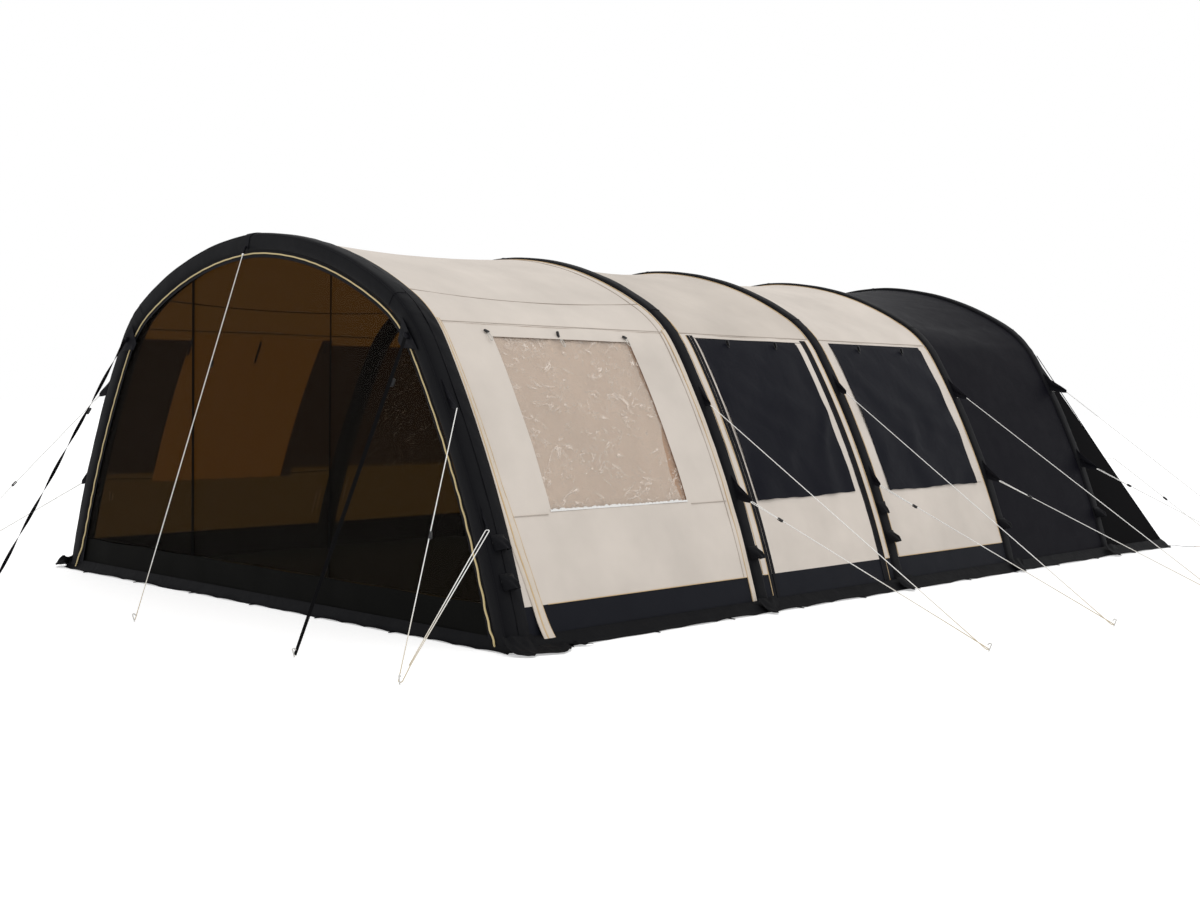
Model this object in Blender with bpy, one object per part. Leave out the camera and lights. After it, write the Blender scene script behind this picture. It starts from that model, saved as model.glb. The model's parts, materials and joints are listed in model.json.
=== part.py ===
"""A family tunnel tent on five inflatable arches.

The tent stands on its groundsheet. X runs across it, Y along it from the mesh front (-Y) to the
sloping rear, and Z up. The origin is under the middle of the groundsheet.
"""

import math

import bmesh
import bpy
from mathutils import Matrix, Vector

# The arch line, the outermost line of every beam sleeve, seen from the front
HALF_WIDTH = 2.180
HEIGHT = 2.150
SHOULDER_X = 1.490
SHOULDER_Z = 1.560
SEAM_X = 1.224
SEAM_Z = 1.807
WALL_BOW = 0.062
SHOULDER_BOW = 0.021
ROOF_BOW = 0.080
WALL_STEPS = 4
SHOULDER_STEPS = 3
ROOF_STEPS = 4

# The length: from each arch to the next, and from the last one to the rear edge
BAYS = (2.003, 1.474, 1.496, 1.547)
REAR_SLOPE = 1.020
REAR_HALF_WIDTH = 2.220
LAST_ARCH_RISE = 0.045
REAR_FOOT_STEP = 0.020
REAR_ROW_SHARES = (0.0, 0.35, 0.7, 1.0)

# Fits
GAP = 0.0003
OVERRUN = 0.010

# Groundsheet, with its border outside the walls and its raised front edge
SHEET_THICKNESS = 0.0015
BORDER = 0.120
FRONT_BORDER = 0.120
SILL_HEIGHT = 0.220
SILL_THICKNESS = 0.002
FLOOR = SHEET_THICKNESS + GAP

# Beam sleeves and the air beams inside them
SLEEVE_WIDTH = 0.106
SLEEVE_DEPTH = 0.113
SLEEVE_WALL = 0.0015
BEAM_CLEARANCE = 0.0008
BEAM_WALL = 0.0015
BEAM_LIFT = 0.012
SLEEVE_SHARES = (
    (-0.33, 0.0), (0.33, 0.0), (0.5, 0.10), (0.5, 0.76),
    (0.33, 1.0), (-0.33, 1.0), (-0.5, 0.76), (-0.5, 0.10),
)

# Fabric panels between the sleeves
SKIN_DEPTH = 0.015
SKIN_THICKNESS = 0.0015
ROOF_SAG = 0.045
SAG_STEPS = 2.3
EAVE = 1.620

# Windows: heights hang from the eave, places along Y start at the arch in front of each bay
WINDOW_BELOW_EAVE = 0.065
WINDOW_HEIGHT = 0.910
WINDOW_1_START = 0.460
WINDOW_1_END = 1.550
WINDOW_2_START = 0.260
WINDOW_2_END = 1.160
WINDOW_3_START = 0.230
WINDOW_3_END = 1.250
PANE_LAP = 0.020
PANE_THICKNESS = 0.001
FLAP_THICKNESS = 0.0015
FLAP_BELOW_EAVE = 0.030
FLAP_DROP = 0.965
FLAP_LAP = 0.070
CURTAIN_LAP = 0.025
CURTAIN_BELOW_EAVE = 0.015
CURTAIN_DROP = 1.020
CURTAIN_THICKNESS = 0.0015
CURTAIN_STAND_OFF = 0.012
CURTAIN_FOLD = 0.006
CURTAIN_FOLDS = 6

# Side door in the second bay of the right side
DOOR_START = 0.140
DOOR_END = 1.335
DOOR_BOTTOM = 0.055
DOOR_BELOW_EAVE = 0.018
DOOR_GAP = 0.0008

# Mesh front, in three panels closed by two upright zips
FRONT_SET_FORWARD = 0.030
MESH_THICKNESS = 0.0015
LEFT_ZIP_X = -0.660
RIGHT_ZIP_X = 0.710

# Valves, each under a fabric flap on the right side
VALVE_RADIUS = 0.015
VALVE_STANDS_OUT = 0.012
VALVE_REACHES_IN = 0.016
VALVE_SIDES = 10
VALVE_FLAP_HALF_HEIGHT = 0.045
VALVE_FLAP_HALF_WIDTH = 0.046
VALVE_FLAP_CREASE = 0.036
VALVE_FLAP_BELLY = 0.024
VALVE_FLAP_MOUTH = 0.032
VALVE_FLAP_THICKNESS = 0.0015
UPPER_VALVE = 0.522
LOWER_VALVE = 0.335

# Guy ropes and storm straps
ROPE_RADIUS = 0.0025
STRAP_RADIUS = 0.004
ROPE_TURN = 0.010
TURN_STEPS = 4
PEG_HEIGHT = 0.012
RUNNER_HALF_SPREAD = 0.003
UPPER_TIP_X = (1.775, 1.740, 1.710, 1.762, 1.790)
UPPER_TIP_Z = (1.180, 1.190, 1.270, 1.242, 1.295)
LOWER_TIP_X = (2.012, 2.060, 1.995, 2.050, 2.070)
LOWER_TIP_Z = (0.588, 0.632, 0.664, 0.643, 0.684)
TIP_AHEAD = (0.050, 0.010, 0.010, 0.010, 0.010)
PEG_X = (2.405, 3.739, 3.819, 3.877, 3.850)
PEG_AHEAD = (0.914, 0.238, 0.458, 0.435, 0.450)
DOUBLED_SHARES = (0.90, 0.14, 0.17, 0.15, 0.17)
REAR_ANCHOR_SHARE = 0.520
REAR_TAB_SHARE = 0.100
REAR_TIP_OUT = 0.050
REAR_PEG_X = 2.650
REAR_PEG_BEHIND = 0.235
FRONT_ANCHOR_X = -0.074
FRONT_PEG_X = 0.157
FRONT_PEG_AHEAD = 0.892
STRAP_ANCHOR_X = 1.400
FRONT_ANCHOR_DEPTH = 0.080
STRAP_PEG_X = 1.575
STRAP_PEG_AHEAD = 0.870

# Places that follow from the sizes above
FRONT_REACH = FRONT_SET_FORWARD + FRONT_BORDER
LENGTH = FRONT_REACH + sum(BAYS) + REAR_SLOPE + BORDER
FRONT_EDGE = -LENGTH / 2
REAR_EDGE = LENGTH / 2
ARCH_Y = tuple(FRONT_EDGE + FRONT_REACH + sum(BAYS[:k]) for k in range(len(BAYS) + 1))
REAR_LINE = REAR_EDGE - BORDER
FRONT_PLANE = ARCH_Y[0] - FRONT_SET_FORWARD
BACK_OF_SKIN = SKIN_DEPTH + SKIN_THICKNESS
WINDOW_TOP = EAVE - WINDOW_BELOW_EAVE
WINDOW_BOTTOM = WINDOW_TOP - WINDOW_HEIGHT
FLAP_TOP = EAVE - FLAP_BELOW_EAVE
CURTAIN_TOP = EAVE - CURTAIN_BELOW_EAVE
DOOR_TOP = EAVE - DOOR_BELOW_EAVE
RIGHT = 1
LEFT = -1

BEIGE = (0.66, 0.60, 0.53)
CHARCOAL = (0.022, 0.024, 0.032)
BLACK = (0.012, 0.012, 0.016)
TAN = (0.48, 0.33, 0.22)
CLEAR = (0.75, 0.70, 0.64)
MESH = (0.035, 0.030, 0.024)
ROPE = (0.80, 0.78, 0.72)
AIR_TUBE = (0.55, 0.57, 0.60)


def clear_scene():
    for obj in list(bpy.data.objects):
        bpy.data.objects.remove(obj, do_unlink=True)


def material(name, colour, roughness):
    made = bpy.data.materials.new(name)
    made.use_nodes = True
    shader = made.node_tree.nodes["Principled BSDF"]
    shader.inputs["Base Color"].default_value = (*colour, 1.0)
    shader.inputs["Roughness"].default_value = roughness
    shader.inputs["Metallic"].default_value = 0.0
    return made


def add_object(name, mesh, colour, roughness=0.8):
    """Links a finished bmesh as an object with its own material."""
    bmesh.ops.recalc_face_normals(mesh, faces=mesh.faces)
    data = bpy.data.meshes.new(name)
    mesh.to_mesh(data)
    mesh.free()
    obj = bpy.data.objects.new(name, data)
    obj.data.materials.append(material(name, colour, roughness))
    bpy.context.scene.collection.objects.link(obj)
    return obj


def set_origin(obj, place):
    """Moves an object's origin to a point on its joint's axis and leaves its mesh where it was."""
    obj.data.transform(Matrix.Translation(-place))
    obj.location = place


def bowed(start, end, bow, steps):
    """Points of the arc from start to end that bows outwards by bow, without its last point."""
    chord = end - start
    half_length = chord.length / 2
    radius = (half_length**2 + bow**2) / (2 * bow)
    half_angle = math.asin(half_length / radius)
    along = chord.normalized()
    outward = Vector((along.y, -along.x))
    middle = (start + end) / 2
    points = []
    for k in range(steps):
        angle = (2 * k / steps - 1) * half_angle
        rise = radius * math.cos(angle) - radius + bow
        points.append(middle + along * (radius * math.sin(angle)) + outward * rise)
    return points


def arch_line():
    """The arch from its right foot to the top, as (x, z) points."""
    foot = Vector((HALF_WIDTH, 0.0))
    shoulder = Vector((SHOULDER_X, SHOULDER_Z))
    seam = Vector((SEAM_X, SEAM_Z))
    top = Vector((0.0, HEIGHT))
    points = bowed(foot, shoulder, WALL_BOW, WALL_STEPS)
    points += bowed(shoulder, seam, SHOULDER_BOW, SHOULDER_STEPS)
    points += bowed(seam, top, ROOF_BOW, ROOF_STEPS)
    return points + [top]


def inward_normals(points):
    """One normal a point, lengthened at each corner so that an offset line stays parallel."""
    normals = []
    for k in range(len(points)):
        before = (points[k] - points[max(k - 1, 0)]).normalized()
        after = (points[min(k + 1, len(points) - 1)] - points[k]).normalized()
        if k == 0:
            before = after
        if k == len(points) - 1:
            after = Vector((before.x, -before.y))
        first = Vector((-before.y, before.x))
        second = Vector((-after.y, after.x))
        middle = (first + second).normalized()
        normals.append(middle / middle.dot(first))
    return normals


ARCH = arch_line()
NORMALS = inward_normals(ARCH)
TOP = len(ARCH) - 1


def arch_point(u, depth):
    """The (x, z) point at step u of the arch line, depth inside it. The foot stands on the floor."""
    first = min(int(u), TOP - 1)
    share = u - first
    corners = []
    for k in (first, first + 1):
        point = ARCH[k] + NORMALS[k] * depth
        if k == 0:
            point = Vector((ARCH[0].x + depth / NORMALS[0].x, FLOOR))
        corners.append(point)
    return corners[0].lerp(corners[1], share)


def step_at(value, axis, depth=SKIN_DEPTH):
    """The step u at which the arch line, depth inside, reaches an x (axis 0) or a height (axis 1)."""
    low, high = 0.0, float(TOP)
    rising = axis == 1
    for _ in range(60):
        middle = (low + high) / 2
        if (arch_point(middle, depth)[axis] < value) == rising:
            low = middle
        else:
            high = middle
    return (low + high) / 2


def steps_between(low, high):
    """The steps from low to high with every corner of the arch line between them."""
    corners = [float(k) for k in range(TOP + 1) if low < k < high]
    return [low] + corners + [high]


def rise_at(y):
    """How much higher than the others the last arch stands, as a share, fading over its bay."""
    share = (y - ARCH_Y[-2]) / (ARCH_Y[-1] - ARCH_Y[-2])
    return 1 + LAST_ARCH_RISE / HEIGHT * min(max(share, 0.0), 1.0)


def sag_at(u, y):
    """How far the roof hangs below the arch line at step u between two arches."""
    eave = step_at(EAVE, 1)
    across = min(max((u - eave) / SAG_STEPS, 0.0), 1.0)
    for near, far in zip(ARCH_Y, ARCH_Y[1:]):
        if near <= y <= far:
            share = (y - near) / (far - near)
            return ROOF_SAG * across * 4 * share * (1 - share)
    return 0.0


def skin(side, u, y, depth):
    """A point of the tent's skin on one side, sagging between the arches."""
    point = arch_point(u, depth + sag_at(u, y))
    return Vector((side * point.x, y, FLOOR + (point.y - FLOOR) * rise_at(y)))


def over_the_top(u, y, depth):
    """A point of the skin, where u runs from the right foot over the top to the left foot."""
    if u <= TOP:
        return skin(RIGHT, u, y, depth)
    return skin(LEFT, 2 * TOP - u, y, depth)


def closed_sheet(name, outer, inner, colour, open_cells=(), roughness=0.8):
    """Closes a sheet between two grids of points and leaves the open cells out as real openings."""
    mesh = bmesh.new()
    front = [[mesh.verts.new(point) for point in column] for column in outer]
    back = [[mesh.verts.new(point) for point in column] for column in inner]
    cells = {(i, j) for i in range(len(outer) - 1) for j in range(len(outer[0]) - 1)}
    cells -= set(open_cells)
    for i, j in sorted(cells):
        corners = ((i, j), (i + 1, j), (i + 1, j + 1), (i, j + 1))
        # Both faces are split along the same diagonal, so a twisted cell keeps its thickness.
        for trio in ((0, 1, 2), (0, 2, 3)):
            three = [corners[k] for k in trio]
            mesh.faces.new([front[a][b] for a, b in three])
            mesh.faces.new([back[a][b] for a, b in reversed(three)])
        beyond = ((i, j - 1), (i + 1, j), (i, j + 1), (i - 1, j))
        for k, neighbour in enumerate(beyond):
            if neighbour not in cells:
                a, b = corners[k]
                c, d = corners[(k + 1) % 4]
                mesh.faces.new((front[c][d], front[a][b], back[a][b], back[c][d]))
    loose = [vert for vert in mesh.verts if not vert.link_faces]
    bmesh.ops.delete(mesh, geom=loose, context="VERTS")
    bmesh.ops.remove_doubles(mesh, verts=mesh.verts, dist=GAP / 10)
    return add_object(name, mesh, colour, roughness)


def side_sheet(name, side, steps, columns, depth, thickness, colour, open_cells=()):
    """A sheet that follows the side of the tent between two depths."""
    outer = [[skin(side, u, y, depth) for u in steps] for y in columns]
    inner = [[skin(side, u, y, depth + thickness) for u in steps] for y in columns]
    return closed_sheet(name, outer, inner, colour, open_cells)


def flat_panel(name, outline, y, thickness, colour):
    """A flat panel from an outline of (x, z) points, from y back by its thickness."""
    mesh = bmesh.new()
    near = [mesh.verts.new((x, y, z)) for x, z in outline]
    face = mesh.faces.new(near)
    moved = bmesh.ops.extrude_face_region(mesh, geom=[face])
    back = [item for item in moved["geom"] if isinstance(item, bmesh.types.BMVert)]
    bmesh.ops.translate(mesh, verts=back, vec=(0, thickness, 0))
    return add_object(name, mesh, colour)


def section(inset):
    """The sleeve's cross-section as (along Y, depth) points, moved in by inset."""
    half_width = SLEEVE_WIDTH / 2
    width_left = (half_width - inset) / half_width
    depth_left = (SLEEVE_DEPTH - 2 * inset) / SLEEVE_DEPTH
    points = []
    for across, down in SLEEVE_SHARES:
        y = across * SLEEVE_WIDTH * width_left
        points.append((y, inset + down * SLEEVE_DEPTH * depth_left))
    return points


def swept_tube(name, arch_y, inset, wall, lift, colour):
    """A tube that follows the arch line from foot to foot, open at both feet."""
    lowest = step_at(lift, 1, 0.0) if lift else 0.0
    right = [lowest] + [float(k) for k in range(1, TOP + 1)]
    left = [2 * TOP - u for u in reversed(right[:-1])]
    mesh = bmesh.new()
    rings = []
    for u in right + left:
        ring = []
        for shape in (section(inset), section(inset + wall)):
            for y, depth in shape:
                step, side = (u, RIGHT) if u <= TOP else (2 * TOP - u, LEFT)
                point = arch_point(step, depth)
                height = FLOOR + (point.y - FLOOR) * rise_at(arch_y)
                ring.append(mesh.verts.new((side * point.x, arch_y + y, height)))
        rings.append(ring)
    count = len(SLEEVE_SHARES)
    for near, far in zip(rings, rings[1:]):
        for k in range(count):
            m = (k + 1) % count
            mesh.faces.new((near[k], near[m], far[m], far[k]))
            mesh.faces.new((near[count + m], near[count + k], far[count + k], far[count + m]))
    for ring in (rings[0], rings[-1]):
        for k in range(count):
            m = (k + 1) % count
            mesh.faces.new((ring[k], ring[m], ring[count + m], ring[count + k]))
    return add_object(name, mesh, colour)


def stub(name, centre, outward, radius, reach_in, reach_out):
    """A short cylinder across a wall, used for valves and for the holes that they stand in."""
    mesh = bmesh.new()
    bmesh.ops.create_cone(
        mesh, cap_ends=True, segments=VALVE_SIDES, radius1=radius, radius2=radius,
        depth=reach_in + reach_out,
    )
    obj = add_object(name, mesh, AIR_TUBE)
    obj.rotation_mode = "QUATERNION"
    obj.rotation_quaternion = outward.to_track_quat("Z", "Y")
    obj.location = centre + outward * (reach_out - reach_in) / 2
    obj.hide_render = True
    obj.display_type = "WIRE"
    return obj


def boolean(obj, other, operation):
    modifier = obj.modifiers.new(other.name, "BOOLEAN")
    modifier.operation = operation
    modifier.solver = "EXACT"
    modifier.object = other


def arch_frame(arch, height):
    """The point of a sleeve's outer face at a height on the right, and the way out of it."""
    u = step_at(height, 1, 0.0)
    place, below, above = (
        skin(RIGHT, step, ARCH_Y[arch], 0.0) for step in (u, float(int(u)), int(u) + 1.0)
    )
    along = (above - below).normalized()
    return place, Vector((along.z, 0.0, -along.x))


def valve_flap(name, arch, height):
    """A fabric hood over a valve, hinged along its upper edge."""
    place, outward = arch_frame(arch, height)
    up = Vector((-outward.z, 0.0, outward.x))
    stands = ((1, GAP), (0, VALVE_FLAP_BELLY), (-1, VALVE_FLAP_MOUTH))
    widths = (-VALVE_FLAP_HALF_WIDTH, -VALVE_FLAP_CREASE, VALVE_FLAP_CREASE, VALVE_FLAP_HALF_WIDTH)
    outer, inner = [], []
    for y in widths:
        full = abs(y) < VALVE_FLAP_HALF_WIDTH
        columns = ([], [])
        for row, stand in stands:
            base = place + up * (row * VALVE_FLAP_HALF_HEIGHT) + Vector((0, y, 0))
            near = stand if full else GAP
            columns[0].append(base + outward * (near + VALVE_FLAP_THICKNESS))
            columns[1].append(base + outward * near)
        outer.append(columns[0])
        inner.append(columns[1])
    flap = closed_sheet(name, outer, inner, BLACK)
    set_origin(flap, place + up * VALVE_FLAP_HALF_HEIGHT + outward * GAP)
    return flap


def make_arches():
    valves = {0: (UPPER_VALVE, LOWER_VALVE), 2: (UPPER_VALVE, LOWER_VALVE)}
    for arch, y in enumerate(ARCH_Y):
        sleeve = swept_tube(f"beam_sleeve_{arch + 1}", y, 0.0, SLEEVE_WALL, 0.0, BLACK)
        inset = SLEEVE_WALL + BEAM_CLEARANCE
        beam = swept_tube(f"air_beam_{arch + 1}", y, inset, BEAM_WALL, BEAM_LIFT, AIR_TUBE)
        heights = valves.get(arch, (LOWER_VALVE,))
        for k, height in enumerate(heights):
            label = f"{arch + 1}" if len(heights) == 1 else f"{arch + 1}_{('upper', 'lower')[k]}"
            place, outward = arch_frame(arch, height)
            size = (VALVE_REACHES_IN, VALVE_STANDS_OUT)
            stem = stub(f"valve_stem_{label}", place, outward, VALVE_RADIUS, *size)
            hole_size = (inset - BEAM_CLEARANCE / 2, VALVE_STANDS_OUT + OVERRUN)
            hole = stub(f"valve_hole_{label}", place, outward, VALVE_RADIUS + GAP, *hole_size)
            boolean(beam, stem, "UNION")
            boolean(sleeve, hole, "DIFFERENCE")
            valve_flap(f"valve_flap_{label}", arch, height)


def bay_ends(bay):
    """The two Y places between which the fabric of a bay lies."""
    half = SLEEVE_WIDTH / 2 + GAP
    return ARCH_Y[bay] + half, ARCH_Y[bay + 1] - half


def make_roofs():
    eave = step_at(EAVE + GAP, 1)
    for bay in range(3):
        near, far = bay_ends(bay)
        columns = [near + (far - near) * k / 3 for k in range(4)]
        right = steps_between(eave, float(TOP))
        steps = right + [2 * TOP - u for u in reversed(right[:-1])]
        outer = [[over_the_top(u, y, SKIN_DEPTH) for u in steps] for y in columns]
        inner = [[over_the_top(u, y, BACK_OF_SKIN) for u in steps] for y in columns]
        closed_sheet(f"roof_panel_{bay + 1}", outer, inner, BEIGE)


def window_wall(name, side, bay, start, end, low, high):
    """A side wall with one real opening, from the floor to the eave."""
    near, far = bay_ends(bay)
    bottom, top = step_at(low, 1), step_at(high, 1)
    eave = step_at(EAVE - GAP, 1)
    steps = steps_between(0.0, bottom)[:-1] + steps_between(bottom, top)
    steps += steps_between(top, eave)[1:]
    columns = [near, ARCH_Y[bay] + start, ARCH_Y[bay] + end, far]
    open_rows = range(steps.index(bottom), steps.index(top))
    cells = [(1, row) for row in open_rows]
    return side_sheet(name, side, steps, columns, SKIN_DEPTH, SKIN_THICKNESS, BEIGE, cells)


def window_pane(name, side, bay, start, end, colour):
    steps = steps_between(
        step_at(WINDOW_BOTTOM - PANE_LAP, 1), step_at(WINDOW_TOP + PANE_LAP, 1)
    )
    columns = [ARCH_Y[bay] + start - PANE_LAP, ARCH_Y[bay] + end + PANE_LAP]
    depth = BACK_OF_SKIN + GAP
    return side_sheet(name, side, steps, columns, depth, PANE_THICKNESS, colour)


def window_flap(name, side, bay, start, end):
    """A fabric cover that hangs outside a window from its upper edge."""
    steps = steps_between(step_at(FLAP_TOP - FLAP_DROP, 1), step_at(FLAP_TOP, 1))
    columns = [ARCH_Y[bay] + start - FLAP_LAP, ARCH_Y[bay] + end + FLAP_LAP]
    depth = SKIN_DEPTH - GAP - FLAP_THICKNESS
    flap = side_sheet(name, side, steps, columns, depth, FLAP_THICKNESS, CHARCOAL)
    set_origin(flap, skin(side, steps[-1], sum(columns) / 2, SKIN_DEPTH - GAP))
    return flap


def curtain(name, side):
    """A curtain in soft upright folds behind the clear window of the first bay."""
    steps = steps_between(step_at(CURTAIN_TOP - CURTAIN_DROP, 1), step_at(CURTAIN_TOP, 1))
    below_hem = step_at(WINDOW_TOP + PANE_LAP + PANE_LAP / 2, 1)
    steps = [u for u in steps if u < below_hem] + [below_hem, steps[-1]]
    first = ARCH_Y[0] + WINDOW_1_START - CURTAIN_LAP
    last = ARCH_Y[0] + WINDOW_1_END + CURTAIN_LAP
    count = 4 * CURTAIN_FOLDS
    outer, inner = [], []
    for k in range(count + 1):
        y = first + (last - first) * k / count
        fold = CURTAIN_FOLD * math.cos(2 * math.pi * CURTAIN_FOLDS * k / count)
        depths = [BACK_OF_SKIN + CURTAIN_STAND_OFF + fold] * (len(steps) - 1)
        depths.append(BACK_OF_SKIN + GAP)
        outer.append([skin(side, u, y, depth) for u, depth in zip(steps, depths)])
        inner.append(
            [skin(side, u, y, depth + CURTAIN_THICKNESS) for u, depth in zip(steps, depths)]
        )
    return closed_sheet(name, outer, inner, TAN)


def make_side_door():
    """The door leaf, with its window opening. Its axis stands along its front edge."""
    low, high = step_at(DOOR_BOTTOM + DOOR_GAP, 1), step_at(DOOR_TOP - DOOR_GAP, 1)
    bottom, top = step_at(WINDOW_BOTTOM, 1), step_at(WINDOW_TOP, 1)
    steps = steps_between(low, bottom)[:-1] + steps_between(bottom, top)
    steps += steps_between(top, high)[1:]
    front = ARCH_Y[1] + DOOR_START + GAP
    columns = [front, ARCH_Y[1] + WINDOW_2_START, ARCH_Y[1] + WINDOW_2_END]
    columns.append(ARCH_Y[1] + DOOR_END - DOOR_GAP)
    cells = [(1, row) for row in range(steps.index(bottom), steps.index(top))]
    door = side_sheet(
        "side_door", RIGHT, steps, columns, SKIN_DEPTH, SKIN_THICKNESS, BEIGE, cells
    )
    foot = skin(RIGHT, low, front, SKIN_DEPTH)
    head = skin(RIGHT, high, front, SKIN_DEPTH)
    along = (head - foot).normalized()
    outward = Vector((along.z, 0.0, -along.x))
    bulge = max((skin(RIGHT, u, front, SKIN_DEPTH) - foot).dot(outward) for u in steps)
    set_origin(door, foot + outward * bulge)
    return door


def make_walls():
    for side, word in ((RIGHT, "right"), (LEFT, "left")):
        window_wall(
            f"side_wall_{word}_1", side, 0, WINDOW_1_START, WINDOW_1_END,
            WINDOW_BOTTOM, WINDOW_TOP,
        )
        if side == RIGHT:
            window_wall(
                f"side_wall_{word}_2", side, 1, DOOR_START, DOOR_END, DOOR_BOTTOM, DOOR_TOP
            )
        else:
            window_wall(
                f"side_wall_{word}_2", side, 1, WINDOW_2_START, WINDOW_2_END,
                WINDOW_BOTTOM, WINDOW_TOP,
            )
        window_wall(
            f"side_wall_{word}_3", side, 2, WINDOW_3_START, WINDOW_3_END,
            WINDOW_BOTTOM, WINDOW_TOP,
        )
        window_pane(f"window_{word}_1", side, 0, WINDOW_1_START, WINDOW_1_END, CLEAR)
        window_pane(f"window_{word}_2", side, 1, WINDOW_2_START, WINDOW_2_END, CLEAR)
        window_pane(f"window_{word}_3", side, 2, WINDOW_3_START, WINDOW_3_END, CLEAR)
        window_flap(f"window_flap_{word}_2", side, 1, WINDOW_2_START, WINDOW_2_END)
        window_flap(f"window_flap_{word}_3", side, 2, WINDOW_3_START, WINDOW_3_END)
        curtain(f"curtain_{word}", side)
    make_side_door()


def make_rear():
    """The dark sleeping end: one hood from foot to foot, and the sloping rear wall behind it."""
    near, far = bay_ends(3)
    columns = [near + (far - near) * k / 3 for k in range(4)]
    right = steps_between(0.0, float(TOP))
    steps = right + [2 * TOP - u for u in reversed(right[:-1])]
    outer = [[over_the_top(u, y, SKIN_DEPTH) for u in steps] for y in columns]
    inner = [[over_the_top(u, y, BACK_OF_SKIN) for u in steps] for y in columns]
    closed_sheet("rear_canopy", outer, inner, BLACK)

    start = ARCH_Y[-1] + SLEEVE_WIDTH / 2 + GAP
    grids = []
    for depth, set_in in ((SKIN_DEPTH, 0.0), (BACK_OF_SKIN, SKIN_THICKNESS)):
        shoulder = skin(RIGHT, float(WALL_STEPS), start, depth)
        rows = []
        for share in REAR_ROW_SHARES:
            row = []
            for u in steps:
                above = over_the_top(u, start, depth)
                across = min(max(above.x / shoulder.x, -1.0), 1.0)
                ahead = REAR_FOOT_STEP * max(WALL_STEPS - min(u, 2 * TOP - u), 0)
                below_x = across * (REAR_HALF_WIDTH - set_in)
                below = Vector((below_x, REAR_LINE - set_in - ahead, FLOOR))
                row.append(above.lerp(below, share))
            rows.append(row)
        grids.append(rows)
    closed_sheet("rear_wall", grids[0], grids[1], BLACK)


def make_groundsheet():
    """The sheet that the tent stands on, its border outside the walls, and its front sill."""
    mesh = bmesh.new()
    corners = (
        (HALF_WIDTH + BORDER, FRONT_EDGE), (REAR_HALF_WIDTH + BORDER, REAR_EDGE),
        (-REAR_HALF_WIDTH - BORDER, REAR_EDGE), (-HALF_WIDTH - BORDER, FRONT_EDGE),
    )
    face = mesh.faces.new([mesh.verts.new((x, y, 0.0)) for x, y in corners])
    moved = bmesh.ops.extrude_face_region(mesh, geom=[face])
    top = [item for item in moved["geom"] if isinstance(item, bmesh.types.BMVert)]
    bmesh.ops.translate(mesh, verts=top, vec=(0, 0, SHEET_THICKNESS))
    sheet = add_object("groundsheet", mesh, CHARCOAL)

    inside = SLEEVE_DEPTH + GAP
    outline = []
    for u in steps_between(0.0, step_at(SILL_HEIGHT, 1, inside)):
        point = arch_point(u, inside)
        outline.append((point.x, point.y))
    outline[0] = (outline[0][0], SHEET_THICKNESS / 2)
    outline += [(-x, z) for x, z in reversed(outline)]
    sill = flat_panel("front_sill", outline, FRONT_PLANE, SILL_THICKNESS, CHARCOAL)
    sill.hide_render = True
    sill.display_type = "WIRE"
    boolean(sheet, sill, "UNION")


def make_front():
    """Two fixed mesh panels and the mesh door between them, closed along the arch by a zip."""
    inside = SLEEVE_DEPTH + GAP
    low = step_at(SILL_HEIGHT + GAP, 1, inside)
    for name, side, zip_x in (
        ("front_mesh_right", RIGHT, RIGHT_ZIP_X), ("front_mesh_left", LEFT, -LEFT_ZIP_X)
    ):
        steps = steps_between(low, step_at(zip_x + GAP, 0, inside))
        arch = [arch_point(u, inside) for u in steps]
        outline = [(side * point.x, point.y) for point in arch]
        outline.append((side * (zip_x + GAP), SILL_HEIGHT + GAP))
        flat_panel(name, outline, FRONT_PLANE, MESH_THICKNESS, MESH)

    clear = inside + DOOR_GAP
    right = [arch_point(u, clear) for u in steps_between(step_at(RIGHT_ZIP_X, 0, clear), TOP)]
    left = [arch_point(u, clear) for u in steps_between(step_at(-LEFT_ZIP_X, 0, clear), TOP)]
    outline = [(point.x, point.y) for point in right[:-1]]
    outline += [(-point.x, point.y) for point in reversed(left)]
    sill = SILL_HEIGHT + GAP
    outline += [(LEFT_ZIP_X + DOOR_GAP, sill), (RIGHT_ZIP_X, sill)]
    door = flat_panel("front_door", outline, FRONT_PLANE, MESH_THICKNESS, MESH)
    set_origin(door, Vector((RIGHT_ZIP_X, ARCH_Y[0] + SLEEVE_WIDTH / 2, SILL_HEIGHT)))


def hairpin(tip, along, radius):
    """Points of a half turn round a peg or a ring. The rope comes in along the given way."""
    across = along.cross(Vector((0, 0, 1))).normalized()
    centre = tip - along * radius
    points = []
    for k in range(TURN_STEPS + 1):
        angle = math.pi * k / TURN_STEPS
        points.append(centre + across * (radius * math.cos(angle)) + along * (radius * math.sin(angle)))
    return points


def cord(name, points, radius, colour):
    """A rope as a curve with a round section and closed ends."""
    data = bpy.data.curves.new(name, "CURVE")
    data.dimensions = "3D"
    data.bevel_depth = radius
    data.bevel_resolution = 2
    data.use_fill_caps = True
    spline = data.splines.new("POLY")
    spline.points.add(len(points) - 1)
    for target, point in zip(spline.points, points):
        target.co = (*point, 1.0)
    data.materials.append(material(name, colour, 0.7))
    obj = bpy.data.objects.new(name, data)
    bpy.context.scene.collection.objects.link(obj)
    return obj


def doubled_end(ring, far_point, share):
    """The rope from a runner up to a ring and back to the runner, starting from far_point."""
    along = (ring - far_point).normalized()
    across = along.cross(Vector((0, 0, 1))).normalized()
    runner = ring.lerp(far_point, share)
    spread = across * RUNNER_HALF_SPREAD
    return [runner + spread] + hairpin(ring, along, ROPE_TURN) + [runner - spread]


def mirrored(points, side):
    return [Vector((side * point.x, point.y, point.z)) for point in points]


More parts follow.
